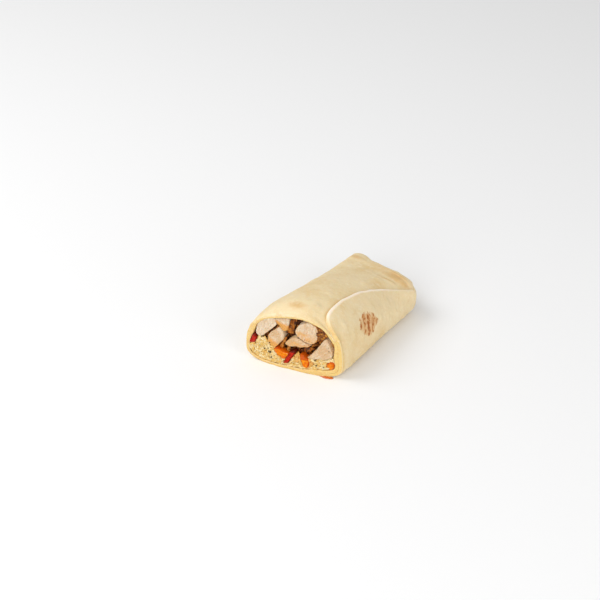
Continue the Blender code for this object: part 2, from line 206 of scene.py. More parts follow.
def smooth(at, stops, values):
    """Cubic curve through the values, read at the given stations."""
    stops = np.asarray(stops, float)
    values = np.asarray(values, float)
    slopes = np.gradient(values, stops)
    i = np.clip(np.searchsorted(stops, at, side="right") - 1, 0, len(stops) - 2)
    span = stops[i + 1] - stops[i]
    t = (at - stops[i]) / span
    ends = (2 * t**3 - 3 * t**2 + 1) * values[i] + (3 * t**2 - 2 * t**3) * values[i + 1]
    return ends + span * ((t**3 - 2 * t**2 + t) * slopes[i] + (t**3 - t**2) * slopes[i + 1])


def ease(t):
    """0 to 1 with level ends: 3 t squared less 2 t cubed."""
    t = np.clip(t, 0, 1)
    return t * t * (3 - 2 * t)


def noise(points, size, seed, octaves=1):
    """Smooth values from -1 to 1: random numbers on a lattice of this size in mm, blended in between.

    Each further octave has half the size and half the strength. size is a number, or one for each axis.
    """
    lattice = np.random.default_rng(seed).uniform(-1, 1, (NOISE_SIDE,) * 3)
    total, strength = 0.0, 1.0
    for octave in range(octaves):
        place = np.asarray(points, float) / np.asarray(size, float) * 2**octave + 5.37 * octave
        cell = np.floor(place).astype(int)
        part = ease(place - cell)
        for corner in np.ndindex(2, 2, 2):
            weight = np.prod(np.where(corner, part, 1 - part), axis=-1)
            at = tuple(np.moveaxis((cell + corner) % NOISE_SIDE, -1, 0))
            total = total + strength * weight * lattice[at]
        strength /= 2
    return total


# The roll


def middle(v):
    """X of the middle of the section."""
    return CENTRE[0] + (CENTRE[1] - CENTRE[0]) * v


def foot(x, z):
    """How far the cut stands forward of its slanted plane: most at the ground, dying away upwards."""
    across = (x - FOOT_MIDDLE) / FOOT_HALF
    return FOOT * np.clip(1 - across**2, 0, None) * np.exp(-z / FOOT_HEIGHT)


def lengthways(x, forward, v):
    """Y of a point at this station: a straight line from the slanted cut to the far end."""
    cut = CUT_AT + CUT_SLANT * (x - CENTRE[0]) - forward
    end = END_AT - RIM_LENGTH + END_SLANT * (x - CENTRE[1])
    return cut * (1 - v) + end * v


def outline(angle, row, inset):
    """Points of the roll. Rows 0 to 1 are its side, 1 to 2 its rim, a quarter round, 2 to 3 the tucked end.

    The section is a superellipse, x = a |cos|^p and z = b |sin|^p, whose upper half is nearly round and
    whose underside is pressed flat. inset is the depth below the outer surface.
    """
    v = np.minimum(row, 1)
    turned = np.clip(row - 1, 0, 1) * math.pi / 2
    tucked = np.clip(row - 2, 0, None)
    on_side = np.clip(v, 0, 1)
    half = smooth(on_side, STATIONS, HALF_WIDTH)
    height = smooth(on_side, STATIONS, HEIGHT)
    widest = smooth(on_side, STATIONS, WIDEST_AT)
    smaller = inset + RIM_INSET * (1 - np.cos(turned))
    c, s = np.cos(angle), np.sin(angle)
    upper = s >= 0
    top_power = TOP_POWER[0] + TOP_POWER[1] * on_side**3
    base_power = BASE_POWER[0] + BASE_POWER[1] * on_side
    power = 2 / np.where(upper, top_power, base_power)
    x = (half - smaller) * np.sign(c) * np.abs(c) ** power
    reach = np.where(upper, height - widest, widest) - smaller
    z = widest + reach * np.sign(s) * np.abs(s) ** power
    x = x * (1 - tucked) + tucked * TUCK_WIDTH * half * c
    z = z * (1 - tucked) + tucked * (TUCK_HEIGHT * height + TUCK_THICK * s)
    z = z - smooth(on_side, STATIONS, LEAN) * x * np.clip(z / height, 0, 1)
    z = np.maximum(z, inset + FLATTENED) - FLATTENED
    x = middle(on_side) + x
    y = lengthways(x, foot(x, z), v) + RIM_LENGTH * np.sin(turned) - TUCK * np.sin(tucked * math.pi / 2)
    return np.stack(np.broadcast_arrays(x - SHIFT[0], y - SHIFT[1], z), -1)


def flap_angle(row):
    """Where the free edge lies, as an angle round the section."""
    return np.radians(smooth(np.clip(row, 0, 3), FLAP_STATIONS, FLAP_ANGLES))


def lip_fade(row):
    """1 along the side, where the free edge stands up in full, to 0 past the rim."""
    return 1 - ease((row - 0.9) / LIP_ROWS)


def outer_depth(angle, row):
    """Half of the step stands up before the free edge and half lies below the roll after it."""
    past = np.degrees(angle - flap_angle(row))
    after = 1 - ease(past / LIP_FADE)
    before = 1 - ease((360 - past) / LIP_FADE)
    return LIP / 2 * lip_fade(row) * np.where(past > 180, -before, after)


def two_layers(angle, row):
    """0 where the wall is one layer thick, 1 where it is two: from the sheet's start on to the free edge."""
    start, width = math.radians(START_ANGLE), math.radians(START_WIDTH)
    return ease((angle - start) / width) * (angle < flap_angle(row) + 2 * math.pi + 1e-9)


def wall_depth(angle, row):
    """Depth of the inside of the roll: the soft sheet is pressed thinner below and is thickest at the top."""
    sheet = smooth(np.degrees(angle), SHEET_AT, SHEET_THICK)
    sheet = sheet + 0.12 * np.sin(9 * angle) * np.sin(4 * angle + 1)
    return outer_depth(angle, row) + sheet + SECOND_LAYER * two_layers(angle, row) + end_sag(angle, row)


def rounded_back(inset, radius):
    """How far a face lies back this far in from its edge, which has a quarter round of this radius."""
    short = np.clip(radius - inset, 0, None)
    return radius - np.sqrt(np.clip(radius**2 - short**2, 0, None))


def bell(value, middle_at, width):
    """1 at the middle, dying away on both sides: e to the minus square of the distance over the width."""
    return np.exp(-(((value - middle_at) / width) ** 2))


# Where the far end's top sinks and its left corner stands up: mm inwards, its middle and reach round the roll
# in degrees, the row where it sets in and the rows over which it grows
SAGS = ((0.9, 103, 14, 0.72, 0.32), (-2.6, 140, 20, 0.45, 0.6))


def end_sag(angle, row):
    """How far the far end sinks, in mm."""
    turn = np.degrees(angle)
    sag = 0.0
    for depth, middle_at, reach, sets_in, rows in SAGS:
        sag = sag + depth * bell(turn, middle_at, reach) * ease((row - sets_in) / rows)
    return sag * ease((3 - row) / 1.2)


def even_angles(row, first, last, count):
    """count + 1 angles that divide this stretch of the section into equal lengths."""
    angles = np.linspace(first, last, 200)
    steps = np.linalg.norm(np.diff(outline(angles, np.clip(row, 0, 1), 0), axis=0), axis=1)
    run = np.concatenate([[0], np.cumsum(steps)])
    return np.interp(np.linspace(0, run[-1], count + 1), run, angles)


# Columns beside the free edge: mm past it and mm of depth of the layer under it, mm before it of the layer
# over it, and that layer's rounded end, EDGE_REACH long and twice EDGE_ROUND high
UNDER_EDGE = np.array([(-1.0, 1.30), (-0.55, 1.33), (0.0, 1.35), (0.6, 1.35), (1.4, 1.35)])
OVER_EDGE = (-4.2, -3.2, -2.4, -1.7)
ROUND_TURNS = np.radians(np.linspace(0, 180, 10))
EDGE_REACH = 1.0
EDGE_ROUND = 1.2
EDGE_DEPTH = -0.12
EDGE_SPREAD = (-4.2, 3.0)


def ring_angles(row, waver):
    """Angles and depths round the section at one row, from under the free edge all the way round to it.

    Next to the edge they are set in mm along the sheet; where it fades out they spread evenly.
    """
    flap = float(flap_angle(row)) + waver
    near = outline(np.array([flap, flap + 0.02]), np.clip(row, 0, 1), 0)
    rate = 0.02 / max(np.linalg.norm(near[1] - near[0]), 1e-6)
    fade = float(lip_fade(row))
    over = np.concatenate([OVER_EDGE, EDGE_REACH * (np.sin(ROUND_TURNS) ** 0.8 - 1)])
    spread = np.linspace(*EDGE_SPREAD, len(over) + len(UNDER_EDGE))
    over_at = fade * over + (1 - fade) * spread[: len(over)]
    under_at = fade * UNDER_EDGE[:, 0] + (1 - fade) * spread[len(over):]
    first = flap + rate * under_at
    last = flap + 2 * math.pi + rate * over_at
    top, start, side = (math.radians(angle) for angle in (TOP_ANGLE, START_ANGLE, SIDE_ANGLE))
    step = math.radians(START_TURN)
    runs = [
        first,
        even_angles(row, first[-1], top, COLUMNS[0])[1:],
        even_angles(row, top, start, COLUMNS[1])[1:],
        np.linspace(start, start + step, START_EDGES + 1)[1:],
        even_angles(row, start + step, side, COLUMNS[2])[1:],
        even_angles(row, side, last[0], COLUMNS[3])[1:-1],
        last,
    ]
    angle = np.concatenate(runs)
    depth = outer_depth(angle - waver, row)
    depth[-len(ROUND_TURNS):] = fade * (EDGE_DEPTH - EDGE_ROUND * np.cos(ROUND_TURNS))
    depth[: len(UNDER_EDGE)] = fade * UNDER_EDGE[:, 1]
    return angle, depth


def outward(angle, row, step=1e-3):
    """Unit normals of the roll without its step: the cross product of its slopes round and along it."""
    around = outline(angle + step, row, 0) - outline(angle - step, row, 0)
    along = outline(angle, row + step, 0) - outline(angle, row - step, 0)
    normal = np.cross(along, around)
    return normal / np.maximum(np.linalg.norm(normal, axis=-1, keepdims=True), 1e-9)


# Stations across the cut edge: the share of the wall from the outside in, and how many mm deep the slit
# between its layers is there
CUT_PATH = np.array([
    (0.008, 0), (0.022, 0), (0.05, 0), (0.09, 0), (0.15, 0), (0.22, 0), (0.29, 0), (0.36, 0),
    (0.42, 0.05), (0.452, 0.12), (0.466, 0.3), (0.49, 0.55), (0.512, 0.3), (0.527, 0.12), (0.56, 0.05),
    (0.63, 0), (0.7, 0), (0.77, 0), (0.84, 0), (0.9, 0), (0.945, 0), (0.975, 0), (0.992, 0), (1.0, 0),
])
CUT_RADIUS = 0.8
CUT_ROW = 0.02
WAVER_FADE = 5
LIP_CREST = 3.2
FLAP_SWING = math.radians(60)


def cut_waver(points, row=0.0):
    """The knife's line is slightly wavy: mm along the roll, dying away behind the cut."""
    flat = np.stack([points[..., 0], 0 * points[..., 0], points[..., 2]], -1)
    return (0.35 * noise(flat, 9, 31) + 0.12 * noise(flat, 3, 32)) * np.exp(-row * LENGTH / WAVER_FADE)


def sheet_columns():
    """Rows of the outside, and the angles and depths of each row's columns.

    The free edge wavers on its way back.
    """
    rows = np.concatenate([END_ROWS[::-1], SIDE_ROWS[::-1]])
    line = np.stack([100 * rows, 0 * rows, 0 * rows], -1)
    waver = np.radians(1.3 * noise(line, 13, 5) + 0.5 * noise(line, 5, 6)) * lip_fade(rows)
    waver = waver * np.clip(rows / 0.05, 0, 1)
    rings = [ring_angles(row, turn) for row, turn in zip(rows, waver)]
    return rows[:, None], *(np.array(values) for values in zip(*rings))


def outside(row, angle, depth, wrinkles, blisters):
    """Outside of the sheet: the outline, moved along its normals by folds and blisters off the ground."""
    points = outline(angle, row, depth)
    lift = wrinkles * outer_folds(points, angle, row) + blisters * outer_blisters(points)
    on_ground = ease((points[..., 2] - 0.3) / 4.0)
    points = points + outward(angle, np.minimum(row, 2.99)) * (lift * on_ground)[..., None]
    points[..., 1] += end_spiral(angle, row)
    points[..., 1] += cut_waver(points, row)
    points[..., 2] = np.maximum(points[..., 2], 0)
    return points


def cut_face(edge, base, last):
    """Cut edge of the sheet, across its thickness: rounded on each side, with a slit between its layers.

    edge and base are the angles and depths at the cut, and last is the outside's last row. Also gives each
    point's distance from the nearer side.
    """
    wall = wall_depth(edge, 0.0) - base
    share, slit = CUT_PATH[:, :1], CUT_PATH[:, 1:]
    near = np.minimum(share, 1 - share) * wall
    rounding = rounded_back(near, CUT_RADIUS)
    slit_open = ease((edge - math.radians(START_ANGLE + START_WIDTH)) / 0.5)
    slit_open = slit_open * ease((flap_angle(0.0) + 2 * math.pi - edge) / 0.05) * (0.6 + noise(last, 7, 43))
    points = outline(np.broadcast_to(edge, near.shape), 0.0, base + wall * share)
    points[..., 1] += rounding + slit * slit_open
    points += (last - outline(edge, 0.0, base)) * (1 - share)[..., None]
    points[..., 1] += cut_waver(points) * share + 0.16 * noise(points, 1.3, 41, 2) * ease(near / 0.4)
    return points, near


def inside(edge):
    """Inside of the sheet, from the cut back. Beside the free edge its columns turn with it."""
    row = np.array(WALL_ROWS)[:, None]
    beside = ease(1 - (edge - edge[0]) / FLAP_SWING) + ease(1 - (edge[-1] - edge) / FLAP_SWING)
    angle = edge + (flap_angle(row) - flap_angle(0.0)) * np.clip(beside, 0, 1)
    points = outline(angle, row, wall_depth(angle, row) + 0.25 * noise_wall(angle, row))
    points[..., 1] += cut_waver(points, row)
    return points


def wrap_grid(wrinkles, blisters):
    """The whole tortilla as one grid, from the tucked end over the outside and the cut to the inner end.

    Columns run round the roll and rows along it. The masks say where each point lies, in mm round and along
    the sheet and as shares from 0 to 1 of what its colour depends on.
    """
    row, angle, depth = sheet_columns()
    smooth_side = outline(angle, row, depth)
    outer = outside(row, angle, depth, wrinkles, blisters)
    edge = angle[-1]
    face, near = cut_face(edge, depth[-1], outer[-1])
    wall = inside(edge)
    outer[..., 1] += CUT_RADIUS * np.clip(1 - row / CUT_ROW, 0, 1)
    ends = [np.broadcast_to(points.mean(axis=0), (1, *outer.shape[1:])) for points in (outer[0], wall[-1])]
    grid = np.concatenate([ends[0], outer, face, wall, ends[1]])

    on_face = slice(len(outer) + 1, len(outer) + 1 + len(face))
    on_wall = slice(on_face.stop, None)
    after = len(grid) - on_face.start

    def outside_only(values, rest):
        return np.concatenate([values[:1], values, np.broadcast_to(rest, (after, len(edge)))])

    around = np.linalg.norm(np.diff(smooth_side, axis=1, prepend=smooth_side[:, :1]), axis=-1).cumsum(axis=1)
    masks = {
        "around": outside_only(around, around[-1:]),
        "along": outside_only(np.broadcast_to(row * LENGTH, angle.shape), 0),
        "lip_painted_light": outside_only(lip_painted_light_mask(row, around), 0),
        "baked_and_crease_shade": outside_only(baked_and_crease_shade(smooth_side, angle, row), 0),
        # Where the painted highlight on the top of the cut's rim goes.
        "top_rim_highlight": np.broadcast_to(bell(edge, math.radians(108), 0.75), grid.shape[:2]),
        "under": np.broadcast_to(bell(edge, math.radians(230), 1.0), grid.shape[:2]),
    }
    masks |= {key: np.zeros(grid.shape[:2]) for key in ("cut", "inside", "inward")}
    share = CUT_PATH[:, :1]
    masks["inward"][on_face] = share
    masks["inward"][on_wall] = 1
    masks["inside"][on_face] = ease((share - 0.9) / 0.1)
    masks["inside"][on_wall] = 1
    masks["cut"][on_face] = ease(near / 0.5)
    right = ease((angle - math.radians(300)) / 0.6)
    masks["cut"][1:on_face.start] = (0.3 + 0.5 * right) * np.exp(-((row * LENGTH / (0.8 + 2.4 * right)) ** 2))
    return grid, masks


def lip_painted_light_mask(row, around):
    """Painted light at the free edge: 1 for a painted highlight on its crest, -1 for a painted shade just
    before it on the layer beneath, and 0 elsewhere.
    """
    to_edge = around[:, -1:] - around
    under = around - around[:, :1]
    band = bell(to_edge, LIP_CREST, 1.4) - bell(under, 0, 2.2) * (to_edge > 20)
    along = (0.25 + 0.75 * ease((row - 0.02) / 0.1)) * (1 - 0.6 * ease((row - 0.6) / 0.3))
    return band * lip_fade(row) * along


def noise_wall(angle, row):
    """Low waves on the inside of the sheet."""
    return noise(np.stack(np.broadcast_arrays(angle * 25, row * LENGTH, 0 * angle), -1), 6, 52, 2)


# Each pleat across the far end's top: its row, its middle in degrees, its reach round the roll in radians,
# its width in rows and its height in mm
PLEATS = (
    (1.04, 74, 0.42, 0.06, 0.8), (0.945, 62, 0.36, 0.024, 0.5), (0.885, 72, 0.3, 0.02, 0.25),
    (0.985, 128, 0.3, 0.03, 0.35),
)

# Each darker cloud on the sheet: its row, its middle in degrees, its reach in rows and degrees, its strength
CLOUDS = (
    (0.075, 94, 0.036, 13, 0.95), (0.12, 78, 0.02, 5, 0.5), (0.55, 100, 0.12, 14, 0.3),
    (0.3, 200, 0.06, 12, 0.6), (0.62, 165, 0.05, 9, 0.5),
)


def outer_folds(points, angle, row):
    """Soft dents of a hand-rolled sheet, and pleats across the top near the tucked end, in mm outwards."""
    lift = 0.55 * noise(points, (15, 24, 15), 11) + 0.22 * noise(points, (7, 12, 7), 12)
    bent = pleat_row(points, angle, row)
    for at, middle_at, spread, width, height in PLEATS:
        top = bell(angle, math.radians(middle_at), spread)
        lift = lift + height * top * (bell(bent, at, width) - 0.7 * bell(bent, at - 1.8 * width, width))
    lift = lift - end_sag(angle, row)
    gathers = np.exp(-(((row - 1.9) / 0.6) ** 2))
    turns = np.stack([2.2 * np.cos(angle), 2.2 * np.sin(angle), 0.5 * row + 0 * angle], -1)
    lift = lift + 0.9 * gathers * noise(turns, 0.8, 14, 2)
    return lift * (0.45 + 0.55 * ease(row / 0.04))


def pleat_row(points, angle, row):
    """The row that a pleat follows: it bends a little as it runs round."""
    return row + 0.02 * noise(points, 12, 13) + 0.03 * (angle - math.radians(75))


def baked_and_crease_shade(points, angle, row):
    """Where the oven coloured the sheet most: the ridges and the corner at the far end, and the clouds; also
    a painted shade along the crease where the folded end's step turns inwards, and darker towards the middle
    of the tucked end.
    """
    bent = pleat_row(points, angle, row)
    turn = np.degrees(angle)
    total = 0.45 * bell(turn, 62, 34) * ease((row - 0.86) / 0.12) * ease((2.0 - row) / 0.7)
    for at, middle_at, spread, width, _ in PLEATS:
        total = total + 0.8 * bell(turn, middle_at, 1.1 * math.degrees(spread)) * bell(bent, at, 1.1 * width)
    for at, middle_at, long, wide, strength in CLOUDS:
        total = total + strength * bell(turn, middle_at, wide) * bell(row, at, long)
    around = (angle - flap_angle(row)) / (2 * math.pi)
    # Painted shade along the crease where the folded end's step turns inwards.
    total = total + 0.5 * bell(row, 2.14 + 0.5 * around, 0.05) * ease((row - 2) / 0.1)
    return np.clip(total + 0.7 * ease((row - 2.75) / 0.25), 0, 1)


def outer_blisters(points):
    """Small flat bubbles where the sheet was baked, in mm outwards."""
    rise = np.clip(noise(points, 4.2, 21) - 0.3, 0, None) * 0.55
    return rise + 0.05 * noise(points, 1.6, 22)


def end_spiral(angle, row):
    """The folded sides show at the far end as a step that turns inwards once round it: mm along the roll."""
    tucked = np.clip(row - 2, 0, 1)
    turn = (angle - flap_angle(row)) / (2 * math.pi)
    inside = ease((tucked - 0.14 - 0.5 * turn) / 0.07 + 0.5) * ease(turn / 0.1) * ease((1 - turn) / 0.3)
    bulge = 1.3 * np.sin(math.pi * np.clip(tucked / 0.85, 0, 1))
    return -1.3 * inside * ease(tucked / 0.15) + bulge


# The filling


def carried(u, z, v):
    """A point drawn on the cut, across from its middle and up, carried to station v as the solids are."""
    near = np.clip(v, 0, 1)
    sideways, up = WANDER_WAVES
    u = u + WANDER * near * np.sin(sideways[0] * near + z / sideways[1])
    z = z + WANDER * near * np.sin(up[0] * near + u / up[1])
    width = (smooth(near, STATIONS, HALF_WIDTH) - SHEET) / (HALF_WIDTH[0] - SHEET)
    height = (smooth(near, STATIONS, HEIGHT) - SHEET) / (HEIGHT[0] - SHEET)
    x = middle(near) + u * width
    z = SHEET + (z - SHEET) * height
    y = lengthways(x, foot(x, z), v)
    return np.stack(np.broadcast_arrays(x - SHIFT[0], y - SHIFT[1], z), -1)


def rounded(shape, count, turns, corner=0.2):
    """Closed outline with its corners cut off this many times, as count points at equal distances."""
    points = np.asarray(shape, float)
    for _ in range(turns):
        after = np.roll(points, -1, axis=0)
        pair = [points * (1 - corner) + after * corner, points * corner + after * (1 - corner)]
        points = np.stack(pair, 1).reshape(-1, 2)
    loop = np.vstack([points, points[:1]])
    run = np.concatenate([[0], np.linalg.norm(np.diff(loop, axis=0), axis=1).cumsum()])
    at = np.linspace(0, run[-1], count, endpoint=False)
    return np.stack([np.interp(at, run, loop[:, axis]) for axis in (0, 1)], 1)


def edge_sides(shape):
    """Start, unit direction and inward normal of each side of a closed outline."""
    along = np.roll(shape, -1, axis=0) - shape
    along = along / np.maximum(np.linalg.norm(along, axis=1), 1e-9)[:, None]
    turn = np.sum(shape[:, 0] * np.roll(shape[:, 1], -1) - np.roll(shape[:, 0], -1) * shape[:, 1])
    return shape, along, np.stack([-along[:, 1], along[:, 0]], 1) * np.sign(turn)


def seen_from(shape):
    """The point from which the whole outline is seen: the one with the most room behind every side's line."""
    start, _, inward = edge_sides(np.asarray(shape, float))
    low, high = start.min(axis=0), start.max(axis=0)
    tries = np.stack(np.meshgrid(*(np.linspace(a, b, 60) for a, b in zip(low, high))), -1).reshape(-1, 2)
    room = np.min(np.einsum("tsk,sk->ts", tries[:, None] - start[None], inward), axis=1)
    return tries[np.argmax(room)]


def inside_shape(points, shape):
    """Whether each point lies in a closed outline: it crosses an odd number of sides on its way out."""
    a = np.asarray(shape, float)
    b = np.roll(a, -1, axis=0)
    u, z = points[..., 0:1], points[..., 1:2]
    crosses = (a[:, 1] > z) != (b[:, 1] > z)
    rise = np.where(b[:, 1] == a[:, 1], 1e-9, b[:, 1] - a[:, 1])
    at = a[:, 0] + (z - a[:, 1]) * (b[:, 0] - a[:, 0]) / rise
    return (crosses & (u < at)).sum(axis=-1) % 2 == 1


def shape_distance(points, shape):
    """Distance of each point from a closed outline."""
    a = np.asarray(shape, float)
    side = np.roll(a, -1, axis=0) - a
    offset = points[..., None, :] - a
    t = np.clip(np.sum(offset * side, -1) / np.maximum(np.sum(side * side, -1), 1e-9), 0, 1)
    return np.min(np.linalg.norm(offset - t[..., None] * side, axis=-1), axis=-1)


def filling_piece(name, rough, fine, round_rim, ragged, lean=(0.0, 0.0), count=112, rings=26):
    """A piece that runs through the roll: a cap at the cut, its sides and a plain far end.

    The cap is a fan of rings from the point that sees the whole outline out to its rim. It leans, is
    roughened by noise, and rounds off at the rim.
    """
    set_back, shape = PIECES[name]
    seed = 100 + list(PIECES).index(name)
    rim = rounded(shape, count, 2)
    _, _, inward = edge_sides(rim)
    bite = ragged * noise(np.stack([rim[:, 0], rim[:, 1], 0 * rim[:, 0]], -1), 2.2, seed, 2)
    rim = rim + inward * bite[:, None]
    centre = seen_from(rim)
    share = np.sin(np.linspace(0, math.pi / 2, rings))[:, None, None]
    flat = centre + (rim - centre) * share
    inset = shape_distance(flat, rim)
    rounding = rounded_back(inset, round_rim)
    spread = np.concatenate([flat, 0 * flat[..., :1]], -1)
    rough_by = rough * noise(spread, 4.5, seed + 40) + fine * noise(spread, 1.3, seed + 80, 2)
    tilt = (flat - centre) @ np.asarray(lean, float)
    back = np.maximum(set_back + rounding + rough_by + tilt, 0.05)
    cap = carried(flat[..., 0], flat[..., 1], back / LENGTH)

    depths = np.array([0.25, 0.6, 1.1, 1.8, 2.8, 4.2, 6.5])[:, None] + back[-1]
    swell = 0.35 * noise(np.stack([np.broadcast_to(rim[:, 0], depths.shape), depths,
                                   np.broadcast_to(rim[:, 1], depths.shape)], -1), 2.5, seed + 120)
    around = rim - inward * swell[..., None] * 0.4
    near = carried(around[..., 0], around[..., 1], depths / LENGTH)
    slim = centre + (rim - centre) * SLIMMER[:, None, None]
    far = carried(slim[..., 0], slim[..., 1], np.array(FILLING_ROWS)[:, None])
    last = far[-1:].copy()
    last[..., 1] = FILLING_END
    end = np.broadcast_to(last.mean(axis=1, keepdims=True), last.shape)
    grid = np.concatenate([cap, near, far, last, end])
    hidden = np.zeros((len(grid) - len(cap), count))
    inset = np.concatenate([inset, hidden])
    shown = np.concatenate([np.ones(inset[: len(cap)].shape), hidden])
    flat_all = np.concatenate([flat, np.broadcast_to(rim, (len(hidden), *rim.shape))])
    return grid, inset, shown, (flat_all - centre)


# Meshes


def grid_faces(rows, columns, closed, start):
    """Quads of a grid of points that are numbered row by row from start."""
    i = np.arange(rows - 1)[:, None]
    k = np.arange(columns if closed else columns - 1)[None]
    a = start + i * columns + k
    b = start + i * columns + (k + 1) % columns
    return np.stack([a, b, b + columns, a + columns], -1).reshape(-1, 4)


def new_piece(name, points, faces, masks):
    """Object of points in mm and faces, with its doubles merged and its faces turned to point out."""
    mesh = bpy.data.meshes.new(name)
    mesh.from_pydata((np.asarray(points).reshape(-1, 3) * MM).tolist(), [], np.asarray(faces).tolist())
    for key, values in masks.items():
        layer = mesh.attributes.new(key, "FLOAT", "POINT")
        layer.data.foreach_set("value", np.asarray(values, np.float32).ravel())
    bm = bmesh.new()
    bm.from_mesh(mesh)
    bmesh.ops.remove_doubles(bm, verts=bm.verts, dist=2e-6)
    bmesh.ops.recalc_face_normals(bm, faces=bm.faces)
    if bm.calc_volume(signed=True) < 0:
        bmesh.ops.reverse_faces(bm, faces=bm.faces)
    bm.to_mesh(mesh)
    bm.free()
    mesh.shade_smooth()
    obj = bpy.data.objects.new(name, mesh)
    bpy.context.scene.collection.objects.link(obj)
    return obj


def grid_piece(name, grid, masks):
    """Object of one grid whose columns close into a ring and whose end rows each meet in a point."""
    return new_piece(name, grid, grid_faces(*grid.shape[:2], True, 0), masks)


def fit_out(obj, material, slot, *nodes):
    """Gives a piece its material, hangs it under the root body, and hides the imported parts that it stands
    for.
    """
    obj.data.materials.append(material)
    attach(obj, "root")
    if nodes:
        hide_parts(*nodes)


def scattered(name, shape_points, shape_faces, places, turns, sizes, masks):
    """One object of many small copies of a shape: each is scaled, turned and put in its place."""
    points = np.einsum("nij,npj->npi", turns, shape_points[None] * sizes[:, None]) + places[:, None]
    count = shape_points.shape[0]
    faces = shape_faces[None] + count * np.arange(len(places))[:, None, None]
    spread = {key: np.repeat(values, count) for key, values in masks.items()}
    return new_piece(name, points, faces.reshape(-1, 4), spread)


def capsule(around, rings, bend, taper=2.4):
    """A grain along X, 1 long and 1 wide: rings of radius (1 - |x|^taper)^(1/2), bent to an arc."""
    t = np.cos(np.linspace(math.pi, 0, rings + 2))[:, None]
    radius = 0.5 * np.sqrt(np.clip(1 - np.abs(t) ** taper, 0, None))
    turn = np.linspace(0, 2 * math.pi, around, endpoint=False)[None]
    x = np.broadcast_to(0.5 * t, (rings + 2, around))
    points = np.stack([x, radius * np.cos(turn), radius * np.sin(turn) + bend * (1 - t**2)], -1)
    return points.reshape(-1, 3), grid_faces(rings + 2, around, True, 0)


def turns_along(draw, spots, flat, shapes, within):
    """Rotation matrices for grains that lie mostly in the plane of the cut: flat is how far they lean out.

    A grain within this distance of an outline lies along it, and any other points anywhere.
    """
    count = len(spots)
    spin = draw.uniform(0, 2 * math.pi, count)
    lean = draw.normal(0, flat, count)
    roll = draw.uniform(0, 6.3, count)

    def nearest(points):
        return np.min([shape_distance(points, shape) for shape in shapes], axis=0)

    steps = np.array([(0.1, 0.0), (0.0, 0.1)])
    rise = np.stack([nearest(spots + step) - nearest(spots - step) for step in steps], 1)
    beside = nearest(spots) < within
    spin = np.where(beside, np.arctan2(rise[:, 0], -rise[:, 1]) + draw.normal(0, 0.25, count), spin)
    x = np.stack([np.cos(spin) * np.cos(lean), np.sin(lean), np.sin(spin) * np.cos(lean)], -1)
    side = np.stack([-np.sin(spin), 0 * spin, np.cos(spin)], -1)
    up = np.cross(x, side)
    y = side * np.cos(roll)[:, None] + up * np.sin(roll)[:, None]
    return np.stack([x, y, np.cross(x, y)], -1)


# Shaders


def plug(tree, socket, value):
    """Links a value to a socket, or sets the socket to a number or a colour."""
    if isinstance(value, Value):
        tree.links.new(value.socket, socket)
    else:
        socket.default_value = value


def math_node(operation, reflected=False):
    """The method of an arithmetic operator, or of its reflected form: it adds a Math node."""

    def method(self, other):
        node = self.tree.nodes.new("ShaderNodeMath")
        node.operation = operation
        for slot, value in zip(node.inputs, (other, self) if reflected else (self, other)):
            plug(self.tree, slot, value)
        return Value(self.tree, node.outputs[0])

    return method


class Value:
    """An output of a node, which reckons like a number."""

    def __init__(self, tree, socket):
        self.tree = tree
        self.socket = socket

    __add__ = math_node("ADD")
    __radd__ = math_node("ADD", True)
    __sub__ = math_node("SUBTRACT")
    __rsub__ = math_node("SUBTRACT", True)
    __mul__ = math_node("MULTIPLY")
    __truediv__ = math_node("DIVIDE")
    __pow__ = math_node("POWER")


